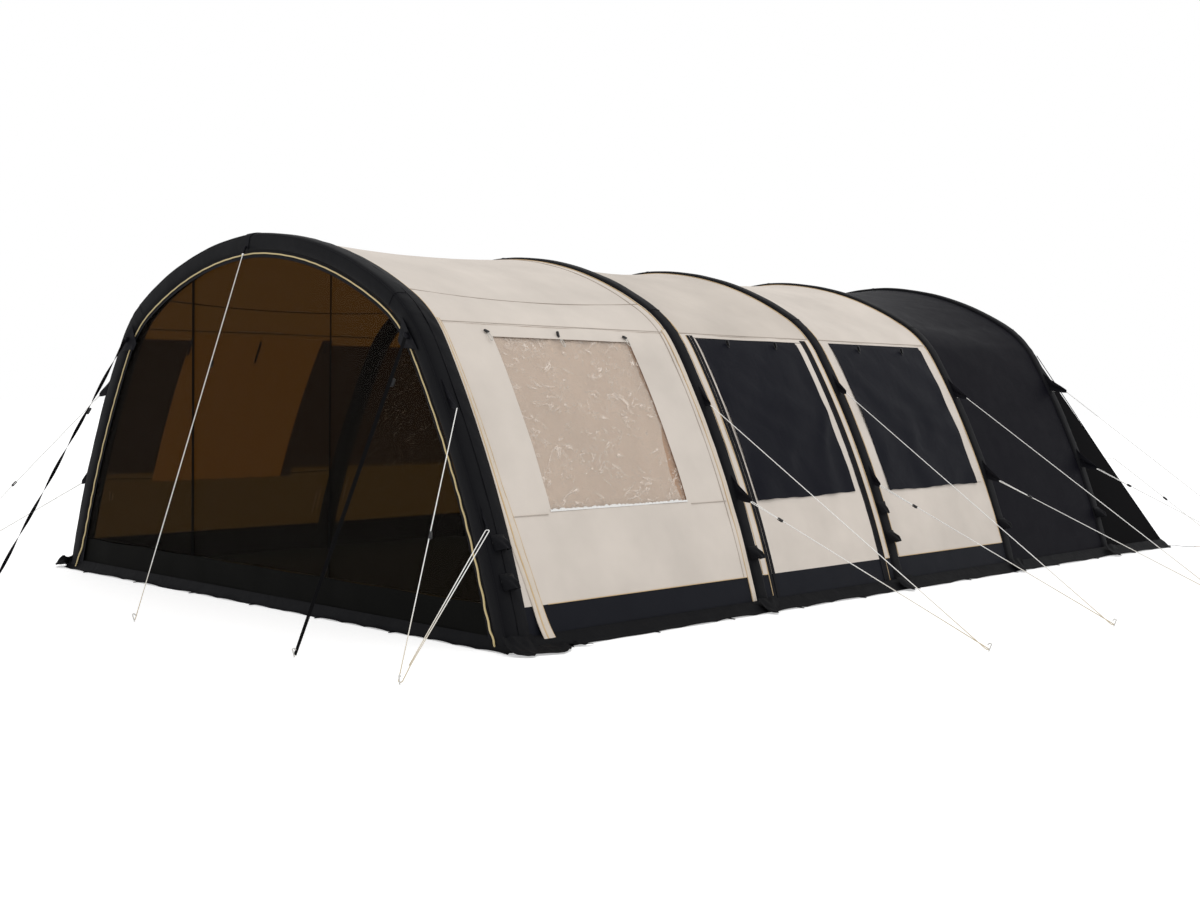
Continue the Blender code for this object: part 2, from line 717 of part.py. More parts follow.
def leaving(place, outward, radius):
    """The first two points of a rope that stands on a face and leaves it at a right angle."""
    return [place + outward * GAP, place + outward * (3 * radius)]


def make_side_ropes():
    """One rope an arch and side: tab, round the peg, and doubled back to the lower tab's ring."""
    for arch, arch_y in enumerate(ARCH_Y):
        peg = Vector((PEG_X[arch], arch_y - PEG_AHEAD[arch], PEG_HEIGHT))
        tip_y = arch_y - TIP_AHEAD[arch]
        upper = Vector((UPPER_TIP_X[arch], tip_y, UPPER_TIP_Z[arch]))
        lower = Vector((LOWER_TIP_X[arch], tip_y, LOWER_TIP_Z[arch]))
        down = ((peg - upper).normalized() + (peg - lower).normalized()).normalized()
        route = leaving(*arch_frame(arch, upper.z), ROPE_RADIUS) + [upper]
        route += hairpin(peg, down, ROPE_TURN)
        route += doubled_end(lower, peg, DOUBLED_SHARES[arch])
        for side, word in ((RIGHT, "right"), (LEFT, "left")):
            cord(f"guy_rope_{word}_{arch + 1}", mirrored(route, side), ROPE_RADIUS, ROPE)


def make_rear_ropes():
    start = ARCH_Y[-1] + SLEEVE_WIDTH / 2 + GAP
    shoulder = skin(RIGHT, float(WALL_STEPS), start, SKIN_DEPTH)
    below = skin(RIGHT, WALL_STEPS - 1.0, start, SKIN_DEPTH)
    corner = Vector((REAR_HALF_WIDTH, REAR_LINE, FLOOR))
    place = shoulder.lerp(below, REAR_TAB_SHARE).lerp(corner, REAR_ANCHOR_SHARE)
    outward = (corner - below).cross(shoulder - below).normalized()
    peg = Vector((REAR_PEG_X, REAR_LINE + REAR_PEG_BEHIND, PEG_HEIGHT))
    route = leaving(place, outward, ROPE_RADIUS)
    route += [place + Vector((REAR_TIP_OUT, REAR_TIP_OUT, 0.0)), peg]
    for side, word in ((RIGHT, "right"), (LEFT, "left")):
        cord(f"guy_rope_rear_{word}", mirrored(route, side), ROPE_RADIUS, ROPE)


def make_front_ropes():
    forward = Vector((0.0, -1.0, 0.0))
    places = (
        ("guy_rope_front", FRONT_ANCHOR_X, FRONT_PEG_X, FRONT_PEG_AHEAD, ROPE_RADIUS, ROPE),
        ("storm_strap_right", STRAP_ANCHOR_X, STRAP_PEG_X, STRAP_PEG_AHEAD, STRAP_RADIUS, BLACK),
        ("storm_strap_left", -STRAP_ANCHOR_X, -STRAP_PEG_X, STRAP_PEG_AHEAD, STRAP_RADIUS, BLACK),
    )
    for name, anchor_x, peg_x, ahead, radius, colour in places:
        at = arch_point(step_at(abs(anchor_x), 0, FRONT_ANCHOR_DEPTH), FRONT_ANCHOR_DEPTH)
        place = Vector((anchor_x, ARCH_Y[0] - SLEEVE_WIDTH / 2, at.y))
        peg = Vector((peg_x, ARCH_Y[0] - ahead, PEG_HEIGHT))
        cord(name, leaving(place, forward, radius) + [peg], radius, colour)


clear_scene()
make_groundsheet()
make_arches()
make_roofs()
make_walls()
make_rear()
make_front()
make_side_ropes()
make_rear_ropes()
make_front_ropes()
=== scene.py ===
"""The looks of a family tunnel tent on five inflatable arches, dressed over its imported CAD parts.

Lengths are metres in the CAD frame: X across, Y from the mesh front (-Y) to the rear, Z up.
Places along the arch line are runs: metres along it from the right foot, over the top.
"""

import json
import math

import bpy
import numpy as np
from mathutils import Matrix, Vector

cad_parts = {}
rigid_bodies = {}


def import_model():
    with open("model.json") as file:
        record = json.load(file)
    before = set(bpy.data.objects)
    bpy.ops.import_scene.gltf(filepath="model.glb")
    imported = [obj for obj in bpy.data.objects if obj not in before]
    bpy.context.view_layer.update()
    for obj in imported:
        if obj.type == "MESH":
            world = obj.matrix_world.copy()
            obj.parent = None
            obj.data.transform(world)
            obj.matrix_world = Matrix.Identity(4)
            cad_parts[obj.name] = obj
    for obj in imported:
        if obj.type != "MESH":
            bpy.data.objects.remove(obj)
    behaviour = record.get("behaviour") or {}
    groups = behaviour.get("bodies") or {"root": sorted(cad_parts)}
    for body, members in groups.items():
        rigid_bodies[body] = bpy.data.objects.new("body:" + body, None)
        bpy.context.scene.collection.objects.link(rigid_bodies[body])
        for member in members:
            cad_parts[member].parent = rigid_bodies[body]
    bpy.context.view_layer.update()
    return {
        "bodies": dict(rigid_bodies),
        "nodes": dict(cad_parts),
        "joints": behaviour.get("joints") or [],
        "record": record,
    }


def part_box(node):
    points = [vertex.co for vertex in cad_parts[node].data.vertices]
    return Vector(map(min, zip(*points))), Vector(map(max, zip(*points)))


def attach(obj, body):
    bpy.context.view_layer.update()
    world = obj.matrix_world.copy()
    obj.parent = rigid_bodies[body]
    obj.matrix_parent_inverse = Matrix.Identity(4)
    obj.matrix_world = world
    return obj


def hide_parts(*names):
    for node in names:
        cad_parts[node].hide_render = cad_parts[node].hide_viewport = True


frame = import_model()

# The arch line and the length, as in the CAD source
HALF_WIDTH = 2.180
HEIGHT = 2.150
SHOULDER = (1.490, 1.560)
SEAM = (1.224, 1.807)
WALL_BOW = 0.062
SHOULDER_BOW = 0.021
ROOF_BOW = 0.080
BAYS = (2.003, 1.474, 1.496, 1.547)
REAR_SLOPE = 1.020
REAR_HALF_WIDTH = 2.220
LAST_ARCH_RISE = 0.045
REAR_FOOT_AHEAD = 0.080
BORDER = 0.120
FLAP_REACH = 0.062
HOOD_SHIFT = 0.027
HINGE_ROOM = 0.008
FRONT_REACH = 0.150
LENGTH = FRONT_REACH + sum(BAYS) + REAR_SLOPE + BORDER
ARCH_Y = tuple(FRONT_REACH - LENGTH / 2 + sum(BAYS[:k]) for k in range(5))
REAR_LINE = LENGTH / 2 - BORDER
FRONT_PLANE = ARCH_Y[0] - 0.030
FLOOR = 0.0018
SLEEVE_WIDTH = 0.106
SLEEVE_DEPTH = 0.113
SKIN_DEPTH = 0.015
THICKNESS = 0.0015
GRID = 0.032
END_GAP = 0.046
PANE_LAP = 0.018
WALL_LAP = 0.004
ROOF_SAG = 0.045
EAVE = 1.620
MUDWALL = 0.200
SILL = 0.220
WINDOW_BOTTOM = 0.645
WINDOW_TOP = 1.555
WINDOWS = ((0.460, 1.550), (0.260, 1.160), (0.230, 1.250))
DOOR = (0.140, 1.335)
DOOR_BOTTOM = 0.055
DOOR_TOP = 1.602
DOOR_GAPS = (0.0062, 0.001)
FLAP_TOP = 1.590
FLAP_DROP = 0.965
FLAP_LAP = 0.070
ZIPS_X = (-0.660, 0.710)
VALVES = {0: (0.522, 0.335), 1: (0.335,), 2: (0.522, 0.335), 3: (0.335,), 4: (0.335,)}

# Guy ropes, as in the CAD source
ROPE_RADIUS = 0.0025
ROPE_TURN = 0.010
ROPE_BEND = 0.020
ON_SLEEVE = 0.0015
PEG_HEIGHT = 0.012
RUNNER_HALF_SPREAD = 0.003
UPPER_TIP_X = (1.775, 1.740, 1.710, 1.762, 1.790)
UPPER_TIP_Z = (1.180, 1.190, 1.270, 1.242, 1.295)
LOWER_TIP_X = (2.012, 2.060, 1.995, 2.050, 2.070)
LOWER_TIP_Z = (0.588, 0.632, 0.664, 0.643, 0.684)
TIP_AHEAD = (0.050, 0.010, 0.010, 0.010, 0.010)
PEG_X = (2.405, 3.739, 3.819, 3.877, 3.850)
PEG_AHEAD = (0.914, 0.238, 0.458, 0.435, 0.450)
DOUBLED_SHARES = (0.90, 0.14, 0.17, 0.15, 0.17)
REAR_PEG = (2.650, REAR_LINE + 0.235, PEG_HEIGHT)
FRONT_ANCHOR_X = -0.074
FRONT_PEG = (0.157, ARCH_Y[0] - 0.892, PEG_HEIGHT)
STRAP_ANCHOR_X = 1.400
STRAP_WIDTH = 0.020
STRAP_PEG = (1.575, ARCH_Y[0] - 0.870, PEG_HEIGHT)
FRONT_ANCHOR_DEPTH = 0.080

RIGHT = 1
LEFT = -1
SIDES = ((RIGHT, "right"), (LEFT, "left"))
UP = np.array([0.0, 0.0, 1.0])
REARWARD = np.array([0.0, 1.0, 0.0])
SHARP_ANGLE = math.radians(48)


# The shape of the skin


def unit(way):
    """The same way with length one, for one way or for rows of them."""
    way = np.asarray(way, float)
    return way / np.linalg.norm(way, axis=-1, keepdims=True)


def run_along(points):
    """How far along a route each of its points is."""
    return np.concatenate([[0], np.cumsum(np.linalg.norm(np.diff(points, axis=0), axis=-1))])


def looked_up(place, places, table):
    """Rows of a table of two columns at a place between the places of its rows."""
    return np.stack([np.interp(place, places, table[:, k]) for k in (0, 1)], -1)


def bowed(start, end, bow, steps):
    """Points of the arc from start to end that bows outwards by bow, without its last point."""
    start, end = np.array(start, float), np.array(end, float)
    chord = end - start
    half_length = np.hypot(*chord) / 2
    radius = (half_length**2 + bow**2) / (2 * bow)
    along = chord / (2 * half_length)
    outward = np.array([along[1], -along[0]])
    half_angle = math.asin(half_length / radius)
    angles = np.linspace(-half_angle, half_angle, steps + 1)[:-1]
    rise = radius * np.cos(angles) - radius + bow
    return (start + end) / 2 + np.outer(radius * np.sin(angles), along) + np.outer(rise, outward)


def arch_line():
    """Runs, (x, z) points and inward normals along the whole arch, softened at its corners."""
    right = np.vstack([
        bowed((HALF_WIDTH, 0.0), SHOULDER, WALL_BOW, 240),
        bowed(SHOULDER, SEAM, SHOULDER_BOW, 60),
        bowed(SEAM, (0.0, HEIGHT), ROOF_BOW, 200),
        [(0.0, HEIGHT)],
    ])
    line = np.vstack([right, right[::-1][1:] * (-1, 1)])
    runs = np.concatenate([[0], np.cumsum(np.hypot(*np.diff(line, axis=0).T))])
    line = looked_up(np.linspace(0, runs[-1], 1201), runs, line)
    reach = 24
    kernel = np.exp(-0.5 * (np.arange(-reach, reach + 1) / 8) ** 2)
    kernel /= kernel.sum()
    before = 2 * line[0] - line[reach:0:-1]
    after = 2 * line[-1] - line[-2:-reach - 2:-1]
    longer = np.vstack([before, line, after])
    line = np.stack([np.convolve(longer[:, k], kernel, "valid") for k in (0, 1)], 1)
    runs = np.concatenate([[0], np.cumsum(np.hypot(*np.diff(line, axis=0).T))])
    tangent = np.gradient(line, runs, axis=0)
    true = unit(np.stack([-tangent[:, 1], tangent[:, 0]], 1))
    share = np.clip(line[:, 1] / 0.16, 0, 1)[:, None]
    share = share * share * (3 - 2 * share)
    level = np.stack([-np.sign(line[:, 0] + 1e-9), np.zeros(len(line))], 1)
    normals = true * share + level * (1 - share)
    normals /= (normals * true).sum(1)[:, None]
    return runs, line, normals


RUNS, LINE, NORMALS = arch_line()
WHOLE = RUNS[-1]
TOP_RUN = WHOLE / 2


def arch_point(run, depth=0.0):
    """(x, z) of the arch line at a run, depth inside it."""
    return looked_up(run, RUNS, LINE) + looked_up(run, RUNS, NORMALS) * np.asarray(depth)[..., None]


def run_at(height, depth=SKIN_DEPTH):
    """The run on the right side where the skin reaches a height."""
    half = RUNS <= TOP_RUN
    return float(np.interp(height, (LINE[half] + NORMALS[half] * depth)[:, 1], RUNS[half]))


def run_at_x(x, depth=SKIN_DEPTH):
    """The run on the right side where the skin reaches a place across."""
    half = RUNS <= TOP_RUN
    places = (LINE[half] + NORMALS[half] * depth)[::-1, 0]
    return float(np.interp(x, places, RUNS[half][::-1]))


EAVE_RUN = run_at(EAVE)
SEAM_RUN = run_at(SEAM[1])


def low_run(run):
    """The run counted from the nearer foot."""
    return np.minimum(run, WHOLE - run)


def skin(run, y, depth=SKIN_DEPTH):
    """Points of the tent's skin, sagging between the arches."""
    run, y, depth = np.broadcast_arrays(
        np.asarray(run, float), np.asarray(y, float), np.asarray(depth, float)
    )
    across = np.clip((low_run(run) - EAVE_RUN) / (SEAM_RUN - EAVE_RUN), 0, 1)
    hang = np.zeros_like(y)
    for near, far in zip(ARCH_Y, ARCH_Y[1:]):
        share = np.clip((y - near) / (far - near), 0, 1)
        hang = hang + 4 * share * (1 - share)
    point = arch_point(run, depth + ROOF_SAG * across * hang)
    rise = 1 + LAST_ARCH_RISE / HEIGHT * np.clip((y - ARCH_Y[3]) / BAYS[3], 0, 1)
    height = FLOOR + (point[..., 1] - FLOOR) * rise
    return np.stack([point[..., 0], y, np.maximum(height, FLOOR)], -1)


def outward_at(run):
    """The way out of the skin at runs."""
    normal = unit(-looked_up(run, RUNS, NORMALS))
    return np.stack([normal[..., 0], np.zeros_like(normal[..., 0]), normal[..., 1]], -1)


def on_side(side, run):
    """The same run counted on the right or the left side."""
    return run if side == RIGHT else WHOLE - run


def stops(painted_glints, pitch):
    """Places between the marks, no further apart than pitch, with every mark among them."""
    places = [painted_glints[0]]
    for near, far in zip(painted_glints, painted_glints[1:]):
        count = max(1, math.ceil(abs(far - near) / pitch))
        places += [near + (far - near) * k / count for k in range(1, count + 1)]
    return np.array(places)


def ripples(a, b, seed, wave, count=9):
    """Soft random waves over two lengths in metres, mostly within -1 and 1."""
    rng = np.random.default_rng(seed)
    a, b = np.broadcast_arrays(np.asarray(a, float), np.asarray(b, float))
    bent = a + 0.35 * wave * np.sin(b / wave * 2.1 + seed)
    total = np.zeros_like(bent)
    for _ in range(count):
        angle = rng.uniform(0, 2 * math.pi)
        rate = 2 * math.pi / (wave * rng.uniform(0.6, 1.8))
        phase = rng.uniform(0, 2 * math.pi)
        total += np.sin(rate * (bent * math.cos(angle) + b * math.sin(angle)) + phase)
    return np.tanh(total / (1.2 * math.sqrt(count)))


# Camera, as in the photograph

CAMERA_PLACE = (7.4591, -8.8097, 1.3240)
CAMERA_TURN = (43.2134, 2.6036, 0.8799)  # yaw to the left, pitch down and roll, in degrees
CAMERA_LENS = 45.365


def new_object(name, data):
    """A new object of the scene that shows the data."""
    obj = bpy.data.objects.new(name, data)
    bpy.context.scene.collection.objects.link(obj)
    return obj


def make_camera():
    yaw, pitch, roll = (math.radians(angle) for angle in CAMERA_TURN)
    ahead = Vector((
        -math.sin(yaw) * math.cos(pitch), math.cos(yaw) * math.cos(pitch), -math.sin(pitch)
    ))
    level = ahead.cross(Vector(UP)).normalized()
    above = level.cross(ahead)
    across = level * math.cos(roll) + above * math.sin(roll)
    upright = above * math.cos(roll) - level * math.sin(roll)
    camera = bpy.data.cameras.new("camera")
    camera.sensor_width = 36
    camera.lens = CAMERA_LENS
    camera.clip_end = 300
    obj = new_object("camera", camera)
    turn = Matrix((across, upright, -ahead)).transposed().to_4x4()
    obj.matrix_world = Matrix.Translation(CAMERA_PLACE) @ turn
    bpy.context.scene.camera = obj


make_camera()


# Materials


def feed_one(tree, socket, value):
    """Gives an input its value, or links it to another node's output."""
    if isinstance(value, bpy.types.NodeSocket):
        tree.links.new(value, socket)
    else:
        socket.default_value = value


def feed(tree, node, **inputs):
    """Feeds a node's inputs by their names, which have _ for a blank here."""
    for name, value in inputs.items():
        feed_one(tree, node.inputs[name.replace("_", " ")], value)
    return node


def add_node(tree, kind, **inputs):
    return feed(tree, tree.nodes.new(f"ShaderNode{kind}"), **inputs)


def joined(tree, kind, *values):
    """The result of a node that is fed by the order of its inputs."""
    node = tree.nodes.new(f"ShaderNode{kind}")
    for socket, value in zip(node.inputs, values):
        feed_one(tree, socket, value)
    return node.outputs[0]


def combined(tree, operation, *values):
    """The result of a sum or another operation on values."""
    result = joined(tree, "Math", *values)
    result.node.operation = operation
    return result


def shader_of(name):
    """A new material, its node tree, its shader and its texture coordinates."""
    made = bpy.data.materials.new(name)
    made.use_nodes = True
    tree = made.node_tree
    return made, tree, tree.nodes["Principled BSDF"], add_node(tree, "TexCoord").outputs


def noise(tree, place, scale, detail, roughness=0.5, distortion=0.0):
    return add_node(
        tree, "TexNoise", Vector=place, Scale=scale, Detail=detail, Roughness=roughness,
        Distortion=distortion,
    ).outputs["Fac"]


def bands(tree, place, scale, distortion=0.0, direction="X"):
    node = add_node(tree, "TexWave", Vector=place, Scale=scale, Distortion=distortion)
    node.bands_direction = direction
    return node.outputs["Fac"]


def bump(tree, height, strength, distance, **under):
    """A surface normal from a height, over another normal if one is given."""
    return add_node(
        tree, "Bump", Height=height, Strength=strength, Distance=distance, **under
    ).outputs["Normal"]


def mapped(tree, value, low, high, least=0.0, most=1.0):
    return add_node(
        tree, "MapRange", Value=value, From_Min=low, From_Max=high, To_Min=least, To_Max=most
    ).outputs["Result"]


def tinted(tree, source, colour, darker, lighter, low=0.3, high=0.7):
    """A colour ramp from a darker to a lighter tone of a colour."""
    ramp = add_node(tree, "ValToRGB", Fac=source)
    for stop, place, share in zip(ramp.color_ramp.elements, (low, high), (darker, lighter)):
        stop.position = place
        stop.color = (*(min(c * share, 1) for c in colour), 1)
    return ramp.outputs["Color"]


def fabric(name, colour, roughness=0.85, weave=0.0022, patches=0.05, wrinkles=0.25,
           wrinkle_size=9.0, specular=0.2, sheen=0.0, glow=None):
    """Woven cloth: blotchy colour, soft wrinkles and a plain weave, from node patterns alone."""
    made, tree, shader, place = shader_of(name)
    blotches = noise(tree, place["Object"], 2.3, 3.0, 0.55)
    creases = noise(tree, place["Object"], wrinkle_size, 4.0, 0.5, 0.6)
    threads = [bands(tree, place["UV"], 0.314 / weave, 0.4, way) for way in "XY"]
    crossed = combined(tree, "ADD", *threads)
    coarse = bump(tree, creases, wrinkles, 0.006)
    feed(
        tree, shader, Base_Color=tinted(tree, blotches, colour, 1 - patches, 1 + patches),
        Normal=bump(tree, crossed, 0.12, 0.0004, Normal=coarse),
        Roughness=mapped(tree, creases, 0.0, 1.0, roughness - 0.06, roughness + 0.06),
        Specular_IOR_Level=specular, Sheen_Weight=sheen,
    )
    # The glow is painted light, given as emission.
    if glow:
        feed(tree, shader, Emission_Color=(*glow, 1), Emission_Strength=1.0)
    return made


def plastic(name, colour, roughness=0.4):
    """Moulded plastic or worn metal with a fine grain."""
    made, tree, shader, place = shader_of(name)
    grain = noise(tree, place["Object"], 180.0, 3.0)
    feed(
        tree, shader, Base_Color=tinted(tree, grain, colour, 0.85, 1.15),
        Normal=bump(tree, grain, 0.2, 0.0004), Roughness=roughness, Specular_IOR_Level=0.4,
    )
    return made


def cordage(name, colour, low_colour):
    """Braided rope: a diagonal braid in colour and bump, straw-coloured near the ground."""
    made, tree, shader, place = shader_of(name)
    braid = bands(tree, place["Object"], 60.0, 1.5, "DIAGONAL")
    height = add_node(tree, "SeparateXYZ", Vector=place["Object"]).outputs["Z"]
    mix = tree.nodes.new("ShaderNodeMix")
    mix.data_type = "RGBA"
    sockets = {socket.identifier: socket for socket in (*mix.inputs, *mix.outputs)}
    feed(tree, mix, Factor=mapped(tree, height, 0.05, 0.33))
    for end, tone in (("A_Color", low_colour), ("B_Color", colour)):
        tree.links.new(tinted(tree, braid, tone, 0.86, 1.08), sockets[end])
    feed(
        tree, shader, Base_Color=sockets["Result_Color"], Normal=bump(tree, braid, 0.4, 0.0006),
        Roughness=0.75,
    )
    return made


def film(name):
    """Clear vinyl: mostly see-through, with painted highlights, white streaks along creases and
    specks of glint, in its colour and alpha.
    """
    made, tree, shader, place = shader_of(name)

    def clouds(slope, stretch, scale, detail):
        """Noise whose features are long along a slope and narrow across it."""
        slant = add_node(
            tree, "Mapping", Vector=place["Object"], Rotation=(slope, 0.0, 0.0),
            Scale=(1.0, 1.0, 1.0 / stretch),
        )
        slant.vector_type = "TEXTURE"
        return noise(tree, slant.outputs["Vector"], scale, detail, 0.6, 0.7)

    # Painted glints: specks first, then streaks along creases.
    glint_specks = mapped(tree, clouds(0.2, 1.5, 55.0, 2.0), 0.57, 0.70, 0.0, 0.9)
    where = mapped(tree, clouds(0.0, 1.0, 2.6, 1.0), 0.50, 0.60)
    painted_glints = combined(tree, "MULTIPLY", glint_specks, where)
    for slope, stretch, scale, width in (
        (0.45, 3.8, 2.9, 0.023), (-0.35, 3.4, 3.9, 0.020), (0.15, 4.0, 5.6, 0.018),
    ):
        apart = combined(tree, "SUBTRACT", clouds(slope, stretch, scale, 3.0), 0.5)
        line = mapped(tree, combined(tree, "ABSOLUTE", apart), 0.0, width, 1.0, 0.0)
        shown = mapped(tree, clouds(slope, 1.6, 6.0, 2.0), 0.50, 0.68)
        painted_glints = combined(tree, "MAXIMUM", painted_glints, combined(tree, "MULTIPLY", line, shown))
    feed(
        # The painted glints lighten the colour and make the film less see-through.
        tree, shader, Alpha=mapped(tree, painted_glints, 0.0, 1.0, 0.15, 0.60),
        Base_Color=tinted(tree, painted_glints, (0.70, 0.63, 0.56), 0.9, 1.35, 0.05, 0.8),
        Normal=bump(tree, clouds(0.45, 3.0, 5.5, 6.0), 0.5, 0.004),
        Roughness=0.16, Specular_IOR_Level=0.5,
    )
    return made


def netting(name, colour, alpha):
    """Fine insect mesh: a thread grid in bump over an even see-through share."""
    made, tree, shader, place = shader_of(name)
    threads = bands(tree, place["UV"], 150.0)
    feed(
        tree, shader, Base_Color=tinted(tree, threads, colour, 0.8, 1.2), Alpha=alpha,
        Normal=bump(tree, threads, 0.1, 0.0003), Roughness=0.9, Specular_IOR_Level=0.05,
    )
    return made


BEIGE = (0.652, 0.590, 0.529)
CANVAS = fabric("canvas", BEIGE, patches=0.07, sheen=0.05)
# A darker copy of the canvas for the second roof: painted shade.
CANVAS_SHADED = fabric("canvas_shaded", (0.590, 0.530, 0.470), patches=0.07, sheen=0.05)
CANVAS_TRIM = fabric("canvas_trim", (0.65, 0.575, 0.490), wrinkles=0.5, wrinkle_size=22.0)
SEAM_TAPE = fabric("seam_tape", (0.44, 0.385, 0.335), wrinkles=0.2)
# Tan piping and seams. The same cloth paints the shade in the rain strips' folds.
PIPING_AND_FOLD_SHADE = fabric("piping_and_fold_shade", (0.60, 0.44, 0.25), wrinkles=0.3, wrinkle_size=30.0)
MUD_FABRIC = fabric("mud_fabric", (0.0066, 0.0073, 0.0110), 0.6, specular=0.08, wrinkle_size=6.0)
# A darker copy of the groundsheet cloth for the sill: painted shade.
SILL_SHADE_FABRIC = fabric("sill_shade_fabric", (0.0040, 0.0040, 0.0036), 0.7, specular=0.03, wrinkle_size=6.0)
APRON_FABRIC = fabric("apron_fabric", (0.0030, 0.0031, 0.0040), 0.6, specular=0.07, wrinkles=0.8)
SLEEVE_FABRIC = fabric(
    "sleeve_fabric", (0.0028, 0.0029, 0.0041), 0.62, specular=0.085, sheen=0.015, wrinkles=0.45
)
HOOD_FABRIC = fabric("hood_fabric", (0.0030, 0.0028, 0.0054), 0.60, specular=0.048, wrinkles=0.22)
REAR_FABRIC = fabric("rear_fabric", (0.0094, 0.0092, 0.0098), 0.75, specular=0.0, wrinkles=0.4)
FLAP_FABRIC = fabric(
    "flap_fabric", (0.0050, 0.0054, 0.0093), 0.50, specular=0.052, wrinkles=1.0, wrinkle_size=5.0
)
STRAP_WEBBING = fabric("strap_webbing", (0.003, 0.003, 0.0035), 0.7, weave=0.0016, specular=0.05)
MESH_TAPE = fabric("mesh_tape", (0.0020, 0.0020, 0.0020), 0.8, weave=0.0012, specular=0.02)
ZIP_TAPE = fabric("zip_tape", (0.55, 0.44, 0.22), 0.7, weave=0.0012, wrinkles=0.3)
ZIP_TEETH = fabric("zip_teeth", (0.70, 0.59, 0.36), wrinkles=0.2)
BLACK_TAPE = fabric("black_tape", (0.005, 0.005, 0.007), 0.6, weave=0.0012, specular=0.08)
CURTAIN = fabric("curtain", (0.590, 0.463, 0.366), wrinkles=0.35, wrinkle_size=5.0)
# The strip behind the curtain's edge glows with painted light, standing in for light through the
# gap.
CURTAIN_GAP_GLOW = fabric("curtain_gap_glow", (0.36, 0.20, 0.10), glow=(0.08, 0.035, 0.012))
# The inside faces glow with painted light, standing in for light through the cloth: bright under
# the roof, less on the walls, dim beside the windows.
INSIDE_ROOF_GLOW = fabric("inside_roof_glow", (0.030, 0.018, 0.009), glow=(0.175, 0.073, 0.0115))
INSIDE_WALL_GLOW = fabric("inside_wall_glow", (0.022, 0.014, 0.008), glow=(0.086, 0.042, 0.0070))
INSIDE_FLANK_GLOW = fabric("inside_flank_glow", (0.014, 0.008, 0.005), glow=(0.0185, 0.0075, 0.0020))
INSIDE_NEAR_GLOW = fabric("inside_near_glow", (0.022, 0.014, 0.008), glow=(0.044, 0.0215, 0.0080))
INSIDE_CURTAIN_GLOW = fabric("inside_curtain_glow", (0.035, 0.020, 0.010), glow=(0.182, 0.069, 0.0080))
LEAF_BACK = fabric("leaf_back", (0.50, 0.44, 0.38))
# The back of the left covers glows faintly with painted light, seen from inside.
COVER_BACK_GLOW = fabric(
    "cover_back_glow", (0.0083, 0.0086, 0.0130), 0.65, specular=0.05, glow=(0.031, 0.0150, 0.0054)
)
INSIDE_DARK = fabric("inside_dark", (0.006, 0.006, 0.007))
# The floor sheet has a faint painted glow.
FLOOR_SHEET_GLOW = fabric("floor_sheet_glow", (0.010, 0.011, 0.009), 0.6, glow=(0.003, 0.0035, 0.0022))
NETTING = netting("netting", (0.006, 0.005, 0.004), 0.55)
CLEAR_FILM = film("clear_film")
ROPE = cordage("rope", (0.90, 0.89, 0.86), (0.62, 0.53, 0.38))
BLACK_PLASTIC = plastic("black_plastic", (0.012, 0.012, 0.013))
PALE_PLASTIC = plastic("pale_plastic", (0.52, 0.50, 0.46))
# Its pale colour is a painted highlight: the glint along the film's edge.
FILM_EDGE_GLINT = plastic("film_edge", (0.80, 0.79, 0.77), 0.3)
AIR_TUBE = plastic("air_tube", (0.40, 0.42, 0.45), 0.45)
PEG_STEEL = plastic("peg_steel", (0.66, 0.65, 0.62), 0.45)


# Mesh parts: each is (points, faces, material number of each face, uv of each point)


def loop_part(rings, uv, zone=0):
    """A closed tube through rings of points, with flat ends."""
    count, sides = rings.shape[:2]
    index = np.arange(count * sides).reshape(count, sides)
    a, b = index[:-1], index[1:]
    faces = np.stack([a, np.roll(a, -1, 1), np.roll(b, -1, 1), b], -1).reshape(-1, 4).tolist()
    faces += [index[0][::-1].tolist(), index[-1].tolist()]
    return rings.reshape(-1, 3), faces, [zone] * len(faces), uv.reshape(-1, 2)


def sheet_part(outer, inner, front=0, back=1, keep=None, uv=None):
    """A closed sheet between two grids of points. front and back number the materials."""
    rows, columns = outer.shape[:2]
    if keep is None:
        keep = np.ones((rows - 1, columns - 1), bool)
    behind = rows * columns
    index = np.arange(behind).reshape(rows, columns)
    a, b, c, d = index[:-1, :-1], index[1:, :-1], index[1:, 1:], index[:-1, 1:]
    cells = np.stack([a, b, c, d], -1)[keep]
    zone = np.broadcast_to(front, keep.shape)[keep]
    faces = [cells, cells[:, ::-1] + behind]
    zones = [zone, np.broadcast_to(back, keep.shape)[keep]]
    padded = np.pad(keep, 1)
    sides = (
        (a, b, padded[1:-1, :-2]), (b, c, padded[2:, 1:-1]),
        (c, d, padded[1:-1, 2:]), (d, a, padded[:-2, 1:-1]),
    )
    for start, end, neighbour in sides:
        edge = keep & ~neighbour
        near, far = start[edge], end[edge]
        faces.append(np.stack([far, near, near + behind, far + behind], -1))
        zones.append(np.broadcast_to(front, keep.shape)[edge])
    points = np.concatenate([outer.reshape(-1, 3), inner.reshape(-1, 3)])
    faces, zones = np.concatenate(faces), np.concatenate(zones)
    used = np.unique(faces)
    renumber = np.zeros(len(points), int)
    renumber[used] = np.arange(len(used))
    if uv is None:
        steps = np.linalg.norm(np.diff(outer, axis=0, prepend=outer[:1]), axis=-1).cumsum(0)
        rises = np.linalg.norm(np.diff(outer, axis=1, prepend=outer[:, :1]), axis=-1).cumsum(1)
        uv = np.stack([steps, rises], -1)
    flat = np.concatenate([uv.reshape(-1, 2)] * 2)
    return points[used], renumber[faces], zones, flat[used]


